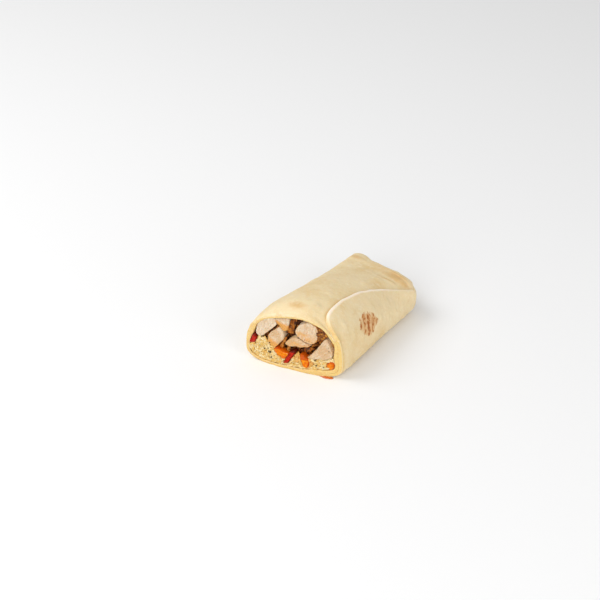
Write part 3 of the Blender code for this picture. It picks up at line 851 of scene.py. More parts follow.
class Finish:
    """A material under construction: its tree, its shader, its colour so far and the ways to add to them."""

    def __init__(self, name, colour):
        self.material = bpy.data.materials.new(name)
        self.material.use_nodes = True
        self.tree = self.material.node_tree
        self.shader = self.tree.nodes["Principled BSDF"]
        self.place = self.add("TexCoord", out="Object")
        self.colour = colour

    def add(self, kind, settings=None, inputs=None, out=0):
        """A node of this type: its settings first, then the values or links of its sockets."""
        node = self.tree.nodes.new("ShaderNode" + kind)
        for key, value in (settings or {}).items():
            setattr(node, key, value)
        for key, value in (inputs or {}).items():
            plug(self.tree, node.inputs[key], value)
        return Value(self.tree, node.outputs[out])

    def mask(self, name):
        """An attribute of the mesh, as a number."""
        return self.add("Attribute", {"attribute_name": name}, out="Fac")

    def noise(self, size, detail=2.0, rough=0.5, place=None, stretch=None):
        """Noise with features of this many mm, from about 0 to 1."""
        place = place or self.place
        if stretch:
            place = self.add("Mapping", inputs={"Vector": place, "Scale": stretch})
        inputs = {"Vector": place, "Scale": 1000 / size, "Detail": detail, "Roughness": rough}
        return self.add("TexNoise", inputs=inputs)

    def between(self, value, low, high):
        """Eased 0 to 1 as the value goes from low to high."""
        settings = {"interpolation_type": "SMOOTHSTEP"}
        inputs = {"Value": value, "From Min": low, "From Max": high, "To Min": 0.0, "To Max": 1.0}
        return self.add("MapRange", settings, inputs)

    def mix(self, first, second, share):
        """One colour over another."""
        inputs = {0: share, 6: as_colour(first), 7: as_colour(second)}
        return self.add("Mix", {"data_type": "RGBA"}, inputs, out=2)

    def lay(self, colour, share):
        """Lays this share of a colour over what is there."""
        self.colour = self.mix(self.colour, colour, share)

    def tint(self, colour, value, low, high, strength):
        """Lays a colour over what is there as the value goes from low to high."""
        self.lay(colour, self.between(value, low, high) * strength)

    def bump(self, height, distance, strength=1.0, normal=None):
        """A bump of this many mm."""
        inputs = {"Height": height, "Distance": distance * MM, "Strength": strength}
        if normal:
            inputs["Normal"] = normal
        return self.add("Bump", inputs=inputs)

    def made(self, under=None, **sockets):
        """The material, with values or links of the shader's sockets, named with underscores.

        under is how much light passes under the surface, and how many metres of red, green and blue.
        """
        sockets["Base_Color"] = as_colour(self.colour)
        if under:
            weight, *radius = under
            sockets |= {"Subsurface_Weight": weight, "Subsurface_Radius": radius, "Subsurface_Scale": 1.0}
        for key, value in sockets.items():
            plug(self.tree, self.shader.inputs[key.replace("_", " ")], value)
        return self.material


def as_colour(value):
    """A colour as a socket takes it, with a fourth value; a link as it is."""
    return value if isinstance(value, Value) else (*value[:3], 1.0)


# The toasted mark: its directions as (along, around) the sheet, its half sizes in mm, and its streaks' waves
MARK_DOWN = (0.583, 0.812)
MARK_ACROSS = (0.816, -0.578)
MARK_SIZE = (11.6, 6.4)
MARK_WAVES = (1.12, 4.0, 1.2)


def mark_finish(f, looks, outside):
    """The toasted mark: an oval of broken streaks, sin(a * across + b * noise + c), down the side."""
    around = f.mask("around") - looks.mark_around
    along = f.mask("along") - looks.mark_along
    warp = f.noise(3.4, 2) - 0.5
    down = around * MARK_DOWN[1] + along * MARK_DOWN[0]
    across = along * MARK_ACROSS[0] + around * MARK_ACROSS[1]
    reach = ((across / MARK_SIZE[0]) ** 2 + (down / MARK_SIZE[1]) ** 2) ** 0.5
    place = f.add("CombineXYZ", inputs={"X": down * 0.0005, "Y": across * MM, "Z": 0.0})
    closeness, bend, start = MARK_WAVES
    wave = f.add("Math", {"operation": "SINE"}, {0: across * closeness + warp * bend + start})
    streak = wave * 0.1 + 0.11 + f.noise(3.0, 1.5, 0.5, place=place) * 0.8
    oval = (1 - f.between(reach + (f.noise(2.6, 2) - 0.5) * 0.8, 0.85, 1.08)) * outside
    broken = f.between(f.noise(2.3, 3, 0.6), 0.38, 0.52)
    f.lay(looks.toasted, oval * 0.5)
    f.tint(looks.toasted, streak, 0.42, 0.52, oval * (0.45 + broken * 0.5))
    f.tint(looks.charred, streak, 0.46, 0.58, oval * broken * 0.95)


def crumb_finish(f, looks):
    """Colour of the sheet where it is cut: a painted highlight in flour colour along the top's rim, darker
    towards the lower left and the bottom, and yellower inwards.
    """
    inward = f.mask("inward")
    # Painted highlight: the outer part of the cut at the top of the roll is laid in flour colour.
    rim = (1 - f.between(inward + f.noise(3.0, 2) * 0.5 - 0.25, 0.3, 0.85)) * f.mask("top_rim_highlight")
    crumb = f.mix(looks.crumb, looks.baked_and_crease_shade, f.mask("under") * 0.55)
    crumb = f.mix(crumb, looks.flour, rim * 0.65)
    crumb = f.mix(crumb, looks.flour, f.between(f.noise(0.9, 3, 0.6), 0.5, 0.75) * 0.3)
    crumb = f.mix(crumb, looks.baked_and_crease_shade, f.between(f.noise(2.6, 2), 0.45, 0.7) * 0.4)
    return f.mix(crumb, looks.inner, f.between(inward, 0.55, 1.0) * 0.6)


def tortilla_finish(looks):
    """Baked flatbread: cream with golden clouds, floury patches, blisters and the toasted mark."""
    f = Finish("tortilla", looks.colour)
    patch = f.noise(6, 3, 0.6)
    flour = f.noise(2.2, 3, 0.7)
    f.tint(looks.golden, f.noise(19, 3, 0.55), 0.42, 0.72, 0.55)
    f.tint(looks.golden, patch, 0.5, 0.75, 0.3)
    f.tint(looks.flour, flour, 0.5, 0.7, 0.4)
    f.tint(looks.toasted, f.noise(1.5, 2, 0.5), 0.68, 0.76, f.between(patch, 0.45, 0.62) * 0.25)
    # The baked colour, which along the folded end's crease is painted shade.
    f.tint(looks.baked_and_crease_shade, f.mask("baked_and_crease_shade") * (0.5 + f.noise(3.0, 3, 0.6)), 0.15, 1.1, 0.62)
    # Painted highlight on the crest of the free edge, and a painted shade in golden just before it on the
    # layer beneath.
    lip_painted_light = f.mask("lip_painted_light")
    f.lay(looks.lip_painted_light, f.between(lip_painted_light, 0.1, 0.9))
    f.tint(looks.golden, 0 - lip_painted_light, 0.1, 0.9, 0.75)
    mark_finish(f, looks, 1 - f.between(f.mask("inside") + f.mask("cut"), 0.1, 0.5))
    f.lay(crumb_finish(f, looks), f.mask("cut"))
    inner = f.mix(looks.inner, looks.stained, f.between(f.noise(4.5, 3, 0.6), 0.42, 0.68) * 0.5)
    f.lay(inner, f.mask("inside"))
    skin = f.bump(f.noise(4.5, 2, 0.5), 0.7, 0.35, f.bump(f.noise(1.1, 4, 0.62), 0.22, 0.55))
    rough = 0.74 + f.between(flour, 0.4, 0.7) * 0.14
    return f.made((0.12, 0.004, 0.0022, 0.0012), Roughness=rough, Normal=skin, Specular_IOR_Level=0.3)


def chicken_finish(looks):
    """Cooked breast: pale, fibrous at the cut, browned at its edges, and stained by sauce low down."""
    f = Finish("chicken", looks.chicken)
    cloud = f.noise(5.5, 3, 0.6)
    bent = (f.noise(4.0, 1) - 0.5) * 0.003
    across = f.mask("across_fibre") * MM + bent
    grain = f.add("CombineXYZ", inputs={"X": f.mask("with_fibre") * 0.00024, "Y": across, "Z": 0.0})
    fibre = f.noise(1.0, 4, 0.6, place=grain)
    warm = f.mask("warm")
    f.tint(looks.chicken_warm, cloud + warm * 0.35, 0.4, 0.75, 0.85)
    f.tint(looks.chicken_pale, fibre, 0.5, 0.68, 0.8 - warm * 0.6)
    f.lay(looks.chicken_warm, (1 - f.between(fibre, 0.34, 0.46)) * 0.8)
    f.tint(looks.browned, f.noise(1.7, 3, 0.6, place=grain), 0.62, 0.72, f.between(cloud, 0.4, 0.6) * 0.35)
    seared = f.mask("seared")
    tone = f.mix(looks.browned, looks.stained, f.between(f.noise(1.5, 3, 0.6), 0.47, 0.6) * 0.75)
    f.tint(tone, seared + f.noise(1.9, 3, 0.6) * 0.9, 0.72, 1.25, 0.97)
    f.tint(looks.sauce, seared + f.noise(1.8, 3, 0.6) * 1.7 - 0.42, 1.18, 1.6, 0.85)
    f.tint(looks.stained, f.mask("stained") + f.noise(1.8, 4, 0.65) * 1.1, 0.75, 1.45, 0.8)
    f.tint(looks.herb, f.noise(0.8, 1, 0.5), 0.72, 0.78, 0.6)
    flesh = f.bump(f.noise(2.2, 3, 0.6), 0.6, 0.5, f.bump(fibre, 0.5, 0.7))
    rough = 0.5 - f.between(fibre, 0.4, 0.7) * 0.14
    return f.made((0.2, 0.003, 0.0015, 0.0009), Roughness=rough, Normal=flesh, Specular_IOR_Level=0.14)


def pepper_finish(name, body, deep, pale, sauce):
    """Soft cooked pepper: glossy, deeper at the skin and streaked along its flesh."""
    f = Finish(name, body)
    streak = f.noise(1.8, 4, 0.65)
    f.tint(deep, streak, 0.42, 0.62, 0.75)
    f.tint(pale, f.noise(1.1, 3, 0.6), 0.56, 0.72, 0.55)
    f.tint(deep, f.mask("seared") + streak * 0.8, 0.6, 1.2, 0.8)
    f.tint(sauce, f.mask("sauced_and_shaded") + f.noise(1.6, 3) * 0.6, 0.6, 1.1, 0.8)
    glint = f.between(f.noise(1.7, 2), 0.56, 0.68)
    return f.made((0.1, 0.002, 0.0006, 0.0002), Roughness=0.3, Normal=f.bump(f.noise(1.0, 3, 0.6), 0.4, 0.8),
                  Coat_Weight=glint * 0.6, Coat_Roughness=0.12, Specular_IOR_Level=0.12)


def onion_finish(looks):
    """Fried onion in sauce: amber where thin, dark and wet in the gaps; its dark sauce between the pieces is
    partly painted shade.
    """
    f = Finish("onion", looks.onion_dark)
    fibre = f.noise(1.5, 3, 0.6, stretch=(1.0, 1.0, 0.22))
    strand = fibre + f.noise(2.4, 2) * 0.5 + f.mask("tone") * 0.5 - 0.5
    blotch = f.noise(1.4, 3, 0.6)
    f.lay(looks.onion_amber, f.between(strand, 0.4, 0.68))
    f.tint(looks.onion_pale, strand, 0.62, 0.8, 0.5)
    f.tint(looks.onion_pale, blotch, 0.54, 0.68, 0.4)
    f.lay(looks.sauce, (1 - f.between(blotch, 0.32, 0.46)) * 0.55)
    # Dark sauce where the mask says: on the mass between the pieces and on the shreds partly painted shade,
    # in the hole under the top of the roll only painted shade.
    f.tint(looks.sauce, f.mask("sauced_and_shaded") + f.noise(3.0, 3) * 0.6, 0.6, 1.0, 0.9)
    glint = f.between(f.noise(1.9, 2), 0.55, 0.68)
    return f.made((0.15, 0.003, 0.001, 0.0005), Roughness=0.3, Normal=f.bump(fibre, 0.4, 0.6),
                  Coat_Weight=glint * 0.6, Coat_Roughness=0.1, Specular_IOR_Level=0.12)


def rice_finish(looks):
    """Cooked rice coloured by the spices: cream to yellow, grain by grain, moist."""
    f = Finish("rice", looks.rice)
    f.lay(looks.rice_yellow, f.between(f.mask("tone"), 0.25, 0.95))
    f.tint(looks.stained, f.mask("sauced_and_shaded") + f.noise(3.2, 3) * 0.5, 0.62, 1.05, 0.8)
    f.tint(looks.rice_yellow, f.noise(2.0, 3, 0.6), 0.5, 0.75, 0.4)
    skin = f.bump(f.noise(0.7, 2, 0.5), 0.12, 0.5)
    return f.made((0.2, 0.002, 0.0014, 0.0008), Roughness=0.42, Normal=skin, Coat_Weight=0.15,
                  Coat_Roughness=0.3)


def herb_finish(looks):
    """Chopped herb and pepper, dark and dull."""
    f = Finish("herb", looks.herb)
    f.tint(looks.browned, f.noise(1.5, 2), 0.45, 0.65, 0.5)
    return f.made(Roughness=0.6, Normal=f.bump(f.noise(0.4, 2), 0.1, 0.5))


def sauce_finish(looks):
    """Thin orange-red oil and sauce."""
    f = Finish("sauce", looks.sauce_red)
    f.lay(looks.sauce_orange, f.between(f.noise(1.8, 2), 0.4, 0.65))
    return f.made((0.2, 0.002, 0.0006, 0.0002), Roughness=0.14, Normal=f.bump(f.noise(1.2, 2), 0.1, 0.4),
                  Coat_Weight=0.7, Coat_Roughness=0.06)


# Settings


def colour_property(name, description, colour):
    """A colour that a user can change."""
    return FloatVectorProperty(name=name, description=description, subtype="COLOR", size=3, min=0, max=1,
                               default=linear(*colour))


class WrapTortillaSettings(bpy.types.PropertyGroup):
    wrinkles: FloatProperty(name="Wrinkles", description="Strength of the dents and folds", default=1.0,
                            min=0, max=2, subtype="FACTOR")
    blisters: FloatProperty(name="Blisters", description="Strength of the small bubbles", default=1.0,
                            min=0, max=2, subtype="FACTOR")
    mark_around: FloatProperty(name="Mark around", description="The toasted mark, in mm from the free edge",
                               default=149.3)
    mark_along: FloatProperty(name="Mark along", description="The toasted mark, in mm from the cut",
                              default=37.2)
    colour: colour_property("Sheet", "Colour of the baked sheet", (238, 216, 172))
    # Golden is also laid as a painted shade just before the free edge.
    golden: colour_property("Golden", "Colour of its golden clouds", (224, 190, 128))
    # Baked is also laid as painted shade along the crease of the folded end.
    baked_and_crease_shade: colour_property("Baked", "Colour of its ridges and darker clouds", (214, 166, 94))
    # The free edge colour is a painted highlight on its crest.
    lip_painted_light: colour_property("Free edge", "Colour of the dry free edge", (255, 238, 216))
    # Flour is also laid as the painted highlight along the top of the cut's rim.
    flour: colour_property("Flour", "Colour of its floury patches", (246, 232, 204))
    toasted: colour_property("Toasted", "Colour of the toasted streaks", (212, 152, 88))
    charred: colour_property("Charred", "Colour of the darkest streaks", (172, 100, 48))
    crumb: colour_property("Crumb", "Colour of the sheet at the cut", (230, 197, 124))
    inner: colour_property("Inner", "Colour of the inside of the sheet", (236, 198, 120))
    stained: colour_property("Stained", "Colour of the inside where sauce has soaked in", (206, 150, 62))


class WrapFillingSettings(bpy.types.PropertyGroup):
    grains: IntProperty(name="Grains", description="The most grains of rice at the cut, as far as they fit",
                        default=760, min=0)
    grain_length: FloatProperty(name="Grain length", description="Mean length of a grain of rice",
                                default=0.0048, min=0.001, unit="LENGTH")
    grain_width: FloatProperty(name="Grain width", description="Mean width of a grain of rice",
                               default=0.0017, min=0.0005, unit="LENGTH")
    shreds: IntProperty(name="Shreds", description="How many shreds of onion lie between the pieces",
                        default=70, min=0)
    chicken: colour_property("Chicken", "Colour of the meat at the cut", (222, 199, 170))
    chicken_pale: colour_property("Pale fibres", "Colour of its palest fibres", (240, 223, 199))
    chicken_warm: colour_property("Warm meat", "Colour of its warmer clouds", (207, 168, 122))
    browned: colour_property("Browned", "Colour of its browned edges", (136, 74, 20))
    stained: colour_property("Stained", "Colour where sauce has soaked in", (222, 152, 50))
    # The dark sauce colour is also laid as painted shade between the pieces and in the hole under the top of
    # the roll.
    sauce: colour_property("Sauce", "Colour of the dark sauce", (72, 23, 6))
    sauce_red: colour_property("Red sauce", "Darker colour of the thin sauce", (194, 78, 10))
    sauce_orange: colour_property("Orange sauce", "Lighter colour of the thin sauce", (214, 116, 26))
    onion_dark: colour_property("Onion", "Colour of fried onion", (62, 25, 5))
    onion_amber: colour_property("Amber onion", "Colour of onion where it is thin", (160, 86, 14))
    onion_pale: colour_property("Pale onion", "Colour of its lightest strands", (198, 140, 66))
    pepper_red: colour_property("Red pepper", "Colour of red pepper", (190, 34, 8))
    pepper_red_deep: colour_property("Deep red", "Colour of its skin", (136, 16, 4))
    pepper_red_pale: colour_property("Pale red", "Colour of its lightest flesh", (214, 66, 28))
    pepper_orange_pale: colour_property("Pale orange", "Colour of its lightest flesh", (250, 170, 50))
    pepper_orange: colour_property("Orange pepper", "Colour of orange pepper", (236, 138, 8))
    pepper_orange_deep: colour_property("Deep orange", "Colour of its skin", (214, 84, 6))
    rice: colour_property("Rice", "Colour of the palest grains", (240, 214, 156))
    rice_yellow: colour_property("Yellow rice", "Colour of the yellowest grains", (226, 180, 92))
    herb: colour_property("Herb", "Colour of the chopped herb", (82, 66, 28))


class WrapStageSettings(bpy.types.PropertyGroup):
    distance: FloatProperty(name="Distance", description="From the camera to the middle of the wrap",
                            default=0.938, unit="LENGTH")
    pitch: FloatProperty(name="Pitch", description="How far the camera looks down", subtype="ANGLE",
                         default=math.radians(33.5))
    azimuth: FloatProperty(name="Azimuth", description="How far round the camera stands", subtype="ANGLE",
                           default=math.radians(36))
    lens: FloatProperty(name="Lens", description="Focal length in mm", default=85.0)
    floor: colour_property("Floor", "Colour of the floor", (250, 250, 250))


def settings():
    """(tortilla, filling, stage) settings of the scene."""
    scene = bpy.context.scene
    return scene.wrap_tortilla, scene.wrap_filling, scene.wrap_stage


# Operators


class WRAP_OT_tortilla(bpy.types.Operator):
    """Makes the rolled tortilla"""

    bl_idname = "wrap.tortilla"
    bl_label = "Tortilla"

    def execute(self, context):
        looks = settings()[0]
        grid, masks = wrap_grid(looks.wrinkles, looks.blisters)
        obj = grid_piece("tortilla_sheet", grid, masks)
        fit_out(obj, tortilla_finish(looks), "tortilla", "tortilla")
        return {"FINISHED"}


# Each piece of chicken: how its front leans back to the right and up, the side that is browned in degrees,
# how wide in mm and how strong the browning is, how strong it is on the other sides, how far sauce has
# stained it from below, the way its fibres run in degrees, and how warm its colour is. A piece with a band
# wider than BROWNED_THROUGH is browned all over.
CHICKEN = {
    "chicken_1": ((0.0, 0.05), -50, 0.7, 0.75, 0.1, 0.0, 65, -0.4),
    "chicken_2": ((0.0, 0.06), 130, 0.6, 0.6, 0.15, 0.95, 40, 0.45),
    "chicken_3": ((0.0, 0.04), -60, 0.8, 0.3, 0.15, 1.15, 120, 0.0),
    "chicken_4": ((0.0, 0.03), 10, 1.8, 0.85, 0.12, 0.56, 95, 0.15),
    "chicken_5": ((0.0, 0.04), -80, 0.9, 0.8, 0.1, 0.5, 15, 0.75),
    "chicken_6": ((0.0, 0.04), 150, 0.7, 0.6, 0.15, 0.1, 50, 0.45),
    "chicken_7": ((0.0, 0.05), 20, 12.0, 0.95, 0.95, 0.0, 130, 0.5),
}
BROWNED_THROUGH = 5


class WRAP_OT_chicken(bpy.types.Operator):
    """Makes the pieces of chicken"""

    bl_idname = "wrap.chicken"
    bl_label = "Chicken"

    def execute(self, context):
        finish = chicken_finish(settings()[1])
        for name, (lean, *looks) in CHICKEN.items():
            grid, inset, shown, offset = filling_piece(name, *CUTS["chicken"], lean)
            obj = grid_piece(name + "_meat", grid, chicken_masks(inset, shown, offset, *looks))
            fit_out(obj, finish, "chicken", name)
        return {"FINISHED"}


def chicken_masks(inset, shown, offset, side, width, strong, weak, stain, fibre, warm):
    """Masks of one piece: mm along and across its fibres, and how browned, stained and warm it is."""
    towards = np.array([math.cos(math.radians(side)), math.sin(math.radians(side))])
    facing = ease((offset @ towards / np.maximum(np.linalg.norm(offset, axis=-1), 1e-6) + 0.1) / 0.9)
    facing = np.maximum(facing, width > BROWNED_THROUGH)
    browned = (weak + (strong - weak) * facing) * (1 - ease(inset / (0.4 + (width - 0.4) * facing)) * shown)
    low = offset[..., 1] / max(np.abs(offset[..., 1]).max(), 1e-6)
    low = low + 0.35 * offset[..., 0] / max(np.abs(offset[..., 0]).max(), 1e-6)
    run = math.radians(fibre)
    return {
        "with_fibre": offset[..., 0] * math.cos(run) + offset[..., 1] * math.sin(run),
        "across_fibre": offset[..., 1] * math.cos(run) - offset[..., 0] * math.sin(run),
        "seared": browned,
        "stained": stain * ease((0.35 - low) / 0.8),
        "warm": warm + 0 * low,
    }


# How thick the sauce lies on a piece of pepper and above which share of its height
PEPPER_SAUCE = {"pepper_orange_2": (1.5, 0.48), "pepper_red_1": (0.6, 0.6), "pepper_orange_3": (0.5, 0.1)}
OTHER_SAUCE = (0.9, 0.72)


class WRAP_OT_peppers(bpy.types.Operator):
    """Makes the strips of pepper"""

    bl_idname = "wrap.peppers"
    bl_label = "Peppers"

    def execute(self, context):
        looks = settings()[1]
        sauces = {"pepper_red": looks.sauce, "pepper_orange": looks.sauce_red}
        finishes = {}
        for slot, sauce in sauces.items():
            colours = [getattr(looks, slot + shade) for shade in ("", "_deep", "_pale")]
            finishes[slot] = pepper_finish(slot, *colours, sauce)
        for name in PIECES:
            slot = name.rpartition("_")[0]
            if slot in finishes:
                grid, inset, shown, offset = filling_piece(name, *CUTS["pepper"], (0.03, 0.03), 80, 20)
                bottom, top = offset[..., 1].min(), offset[..., 1].max()
                thick, above = PEPPER_SAUCE.get(name, OTHER_SAUCE)
                sauced_and_shaded = thick * ease(((offset[..., 1] - bottom) / (top - bottom) - above) / 0.25)
                masks = {"seared": 1 - ease(inset / 0.7) * shown, "sauced_and_shaded": sauced_and_shaded}
                obj = grid_piece(name + "_strip", grid, masks)
                fit_out(obj, finishes[slot], slot, name)
        return {"FINISHED"}


def hollow_outline(clear):
    """(across, up) of the inside of the roll at the cut, less a clearance."""
    angle = np.linspace(0, 2 * math.pi, HOLLOW_POINTS, endpoint=False) + flap_angle(0.0)
    points = outline(angle, 0.0, wall_depth(angle, 0.0) + clear)
    return np.stack([points[:, 0] + SHIFT[0] - CENTRE[0], points[:, 2]], 1)


def rice_top(u):
    """Height of the rice at the cut."""
    return np.interp(u, *np.array(RICE_LEVEL).T)


def core_outline(clear, sink, above, wider, count):
    """Outline of a core at the cut: the roll's inside, above or below the rice's top, and a level between.

    The level lies this much under the rice's top, and is this much wider than the inside on either hand.
    """
    hollow = hollow_outline(clear)
    part = hollow[(hollow[:, 1] > rice_top(hollow[:, 0]) - sink) == above]
    first = -math.pi if above else math.pi / 2
    turn = (np.arctan2(part[:, 1] - CORE_MIDDLE, part[:, 0]) - first) % (2 * math.pi)
    part = part[np.argsort(turn)]
    side = 1 if above else -1
    level = np.linspace(part[-1, 0] + side * wider, part[0, 0] - side * wider, count)
    return np.vstack([part, np.stack([level, rice_top(level) - sink], 1)])


def filling_core(name, shape, set_back, relief, masks):
    """The mass between the pieces: a cap of rings across the cut, roughened, and plain sides behind it."""
    rim = rounded(shape, 200, 3)
    centre = seen_from(rim)
    share = np.linspace(0, 1, 60)[:, None, None]
    flat = centre + (rim - centre) * share
    spread = np.concatenate([flat, 0 * flat[..., :1]], -1)
    back = set_back + relief(spread)
    cap = carried(flat[..., 0], flat[..., 1], back / LENGTH)
    far = carried(rim[:, 0], rim[:, 1], np.array((0.1, *FILLING_ROWS))[:, None])
    end = np.broadcast_to(far[-1:].mean(axis=1, keepdims=True), far[-1:].shape)
    grid = np.concatenate([cap, far, end])
    flat = np.concatenate([flat, np.broadcast_to(rim, (len(far) + 1, *rim.shape))])
    return grid_piece(name, grid, {key: values(flat) for key, values in masks.items()})


class WRAP_OT_onion(bpy.types.Operator):
    """Makes the fried onion: its larger pieces, the mass between them and loose shreds"""

    bl_idname = "wrap.onion"
    bl_label = "Onion"

    def execute(self, context):
        looks = settings()[1]
        finish = onion_finish(looks)
        tones = {"onion_1": 0.7, "onion_2": 0.95, "onion_3": 0.6}
        for name, tone in tones.items():
            grid, inset, shown, _ = filling_piece(name, *CUTS["onion"], (0.0, 0.06), 80, 18)
            masks = {"tone": tone * ease(inset / 0.8 + 0.3) * shown, "sauced_and_shaded": 0.2 * np.ones(inset.shape)}
            fit_out(grid_piece(name + "_slice", grid, masks), finish, "onion", name)
        # The mass between the pieces takes dark sauce that is partly painted shade, and only painted shade in
        # the hole under the top of the roll.
        core = filling_core(
            "onion_sauce", core_outline(clear=0.7, sink=0.9, above=True, wider=0.6, count=24), 4.8,
            lambda p: noise(p, (3.4, 1, 3.4), 61, 2) + 0.4 * noise(p, 1.2, 62, 2) + 3 * dark_hole(p),
            {"tone": lambda p: 0.35 + 0.3 * noise_2d(p, 3, 63), "sauced_and_shaded": dark_sauce_and_shade},
        )
        fit_out(core, finish, "onion", "onion_mix")
        fit_out(self.shreds(looks.shreds), finish, "onion")
        return {"FINISHED"}

    def shreds(self, count):
        """Bent flat shreds in the gaps between the pieces."""
        draw = np.random.default_rng(7)
        tries = draw.uniform(*SHRED_AREA, (SHRED_TRIES, 2))
        wall = hollow_outline(1.4)
        good = inside_shape(tries, wall) & (tries[:, 1] > rice_top(tries[:, 0]) - 1)
        good &= (shape_distance(tries, wall) > 1.0) & (dark_hole(tries) < 0.002)
        for _, shape in PIECES.values():
            good &= ~inside_shape(tries, shape) | (shape_distance(tries, shape) < 0.3)
        spots = tries[good][:count]
        room = np.min([shape_distance(spots, shape) for _, shape in PIECES.values()], axis=0)
        count = len(spots)
        set_back = 4.5 - np.clip(room, 0, 1.6) * 1.2 + draw.uniform(-0.5, 1.2, count)
        places = carried(spots[:, 0], spots[:, 1], set_back / LENGTH)
        sizes = np.stack([draw.uniform(3.5, 6.5, count), draw.uniform(1.4, 2.6, count),
                          draw.uniform(0.6, 1.0, count)], 1)
        points, faces = capsule(8, 8, 0.5, 4)
        tone = draw.uniform(0.2, 1, count)
        # The shreds take the dark sauce of where they lie, which is partly painted shade.
        masks = {"tone": tone, "sauced_and_shaded": dark_sauce_and_shade(spots) * draw.uniform(0.2, 1, count)}
        turns = turns_along(draw, spots, 0.3, [shape for _, shape in PIECES.values()], 2.0)
        return scattered("onion_shreds", points, faces, places, turns, sizes, masks)


def noise_2d(points, size, seed):
    """Noise over the plane of the cut."""
    return noise(np.stack([points[..., 0], points[..., 1], 0 * points[..., 0]], -1), size, seed, 2)


# Soft round spots over the plane of the cut: how strong, its middle across and up, its reach across and up.
# The hole is the gap under the top of the roll, where the dark sauce is only painted shade; the dark sauce
# under the large piece, above the peppers and between pieces is partly sauce and partly painted shade; the
# pools are in the rice.
HOLE = ((1.0, (2.6, 36.5), (2.6, 1.8)),)
DARK_SAUCE_AND_SHADE = (
    (0.9, (11, 19), (7, 3)), (0.6, (0.5, 14), (5, 2.5)), (0.5, (-1.5, 24), (3, 3)),
    (0.8, (-15, 23), (4.5, 5)), *HOLE,
)
POOLS = ((1.0, (11.5, 7), (2.5, 3)), (1.0, (2, 7.5), (2, 3.5)))


def soft_spots(points, spots, base=0.0):
    """The base and the sum of the spots at each point."""
    for strength, at, reach in spots:
        base = base + strength * np.exp(-(((points[..., :2] - at) / reach) ** 2).sum(axis=-1))
    return base


def dark_hole(points):
    """1 in the gap under the top of the roll, where nothing fills it."""
    return soft_spots(points, HOLE)


def dark_sauce_and_shade(points):
    """How dark the sauce is between the pieces: partly sauce and partly painted shade, and only painted shade
    in the hole under the top of the roll.
    """
    return np.clip(soft_spots(points, DARK_SAUCE_AND_SHADE, 0.35), 0, 1)


class WRAP_OT_rice(bpy.types.Operator):
    """Makes the rice: a core, single grains at the cut, and specks of herb"""

    bl_idname = "wrap.rice"
    bl_label = "Rice"

    def execute(self, context):
        looks = settings()[1]
        finish = rice_finish(looks)
        wall = hollow_outline(0.3)

        def relief(p):
            beside_wall = bell(shape_distance(p[..., :2], wall), 0, 1.3)
            return 0.35 * noise(p, 1.7, 71) + 0.25 * noise(p, 4, 72) - beside_wall

        core = filling_core(
            "rice_core", core_outline(clear=0.3, sink=1.3, above=False, wider=0.3, count=30), 2.0, relief,
            {"tone": lambda p: 0.6 + 0 * p[..., 0], "sauced_and_shaded": sauce_near},
        )
        fit_out(core, finish, "rice", "rice_bed")
        fit_out(self.grains(looks), finish, "rice")
        fit_out(self.herbs(), herb_finish(looks), "onion")
        return {"FINISHED"}

    def spots(self, draw, count, spacing, margin):
        """Places in the rice at the cut, clear of the pieces, kept at least a spacing apart."""
        tries = draw.uniform(*GRAIN_AREA, (count * 14, 2))
        wall = hollow_outline(margin)
        good = inside_shape(tries, wall) & (tries[:, 1] < rice_top(tries[:, 0]) - 0.5)
        for _, shape in PIECES.values():
            good &= ~inside_shape(tries, shape) & (shape_distance(tries, shape) > 0.75)
        kept = []
        for spot in tries[good]:
            if not kept or np.min(np.hypot(*(np.array(kept) - spot).T)) > spacing:
                kept.append(spot)
            if len(kept) == count:
                break
        return np.array(kept)

    def grains(self, looks):
        """Single grains in two layers, one behind the other."""
        draw = np.random.default_rng(11)
        spots = np.vstack([self.spots(draw, looks.grains // 2, 1.15, 0.7) for _ in range(2)])
        count = len(spots)
        front = np.arange(count) < count / 2
        set_back = np.where(front, draw.uniform(0.8, 1.2, count), draw.uniform(1.25, 1.7, count))
        places = carried(spots[:, 0], spots[:, 1], set_back / LENGTH)
        sizes = np.stack([
            1000 * looks.grain_length * draw.uniform(0.6, 1.2, count),
            1000 * looks.grain_width * draw.uniform(0.85, 1.15, count),
            1000 * looks.grain_width * draw.uniform(0.8, 1.1, count),
        ], 1)
        points, faces = capsule(7, 5, 0.18)
        masks = {"tone": draw.uniform(0, 1, count), "sauced_and_shaded": sauce_near(spots)}
        shapes = [shape for _, shape in PIECES.values()] + [hollow_outline(0.3)]
        turns = turns_along(draw, spots, 0.2, shapes, 2.3)
        return scattered("rice_grains", points, faces, places, turns, sizes, masks)

    def herbs(self):
        """Flat specks: the larger ones, and a few small ones anywhere in the rice."""
        draw = np.random.default_rng(13)
        spots = np.vstack([self.spots(draw, 7, 3.0, 2.2), HERB_SPOTS[:, :2]])
        count = len(spots)
        set_back = np.concatenate([draw.uniform(0.1, 0.4, count - len(HERB_SPOTS)), HERB_SPOTS[:, 3]])
        places = carried(spots[:, 0], spots[:, 1], set_back / LENGTH)
        size = np.concatenate([draw.uniform(0.35, 0.8, count - len(HERB_SPOTS)), HERB_SPOTS[:, 2]])
        sizes = np.stack([size * 1.3, size, size * 0.45], 1)
        points, faces = capsule(6, 4, 0.1, 2)
        turns = turns_along(draw, spots, 0.3, [HERB_SPOTS[:, :2]], 0)
        return scattered("herb_specks", points, faces, places, turns, sizes, {})


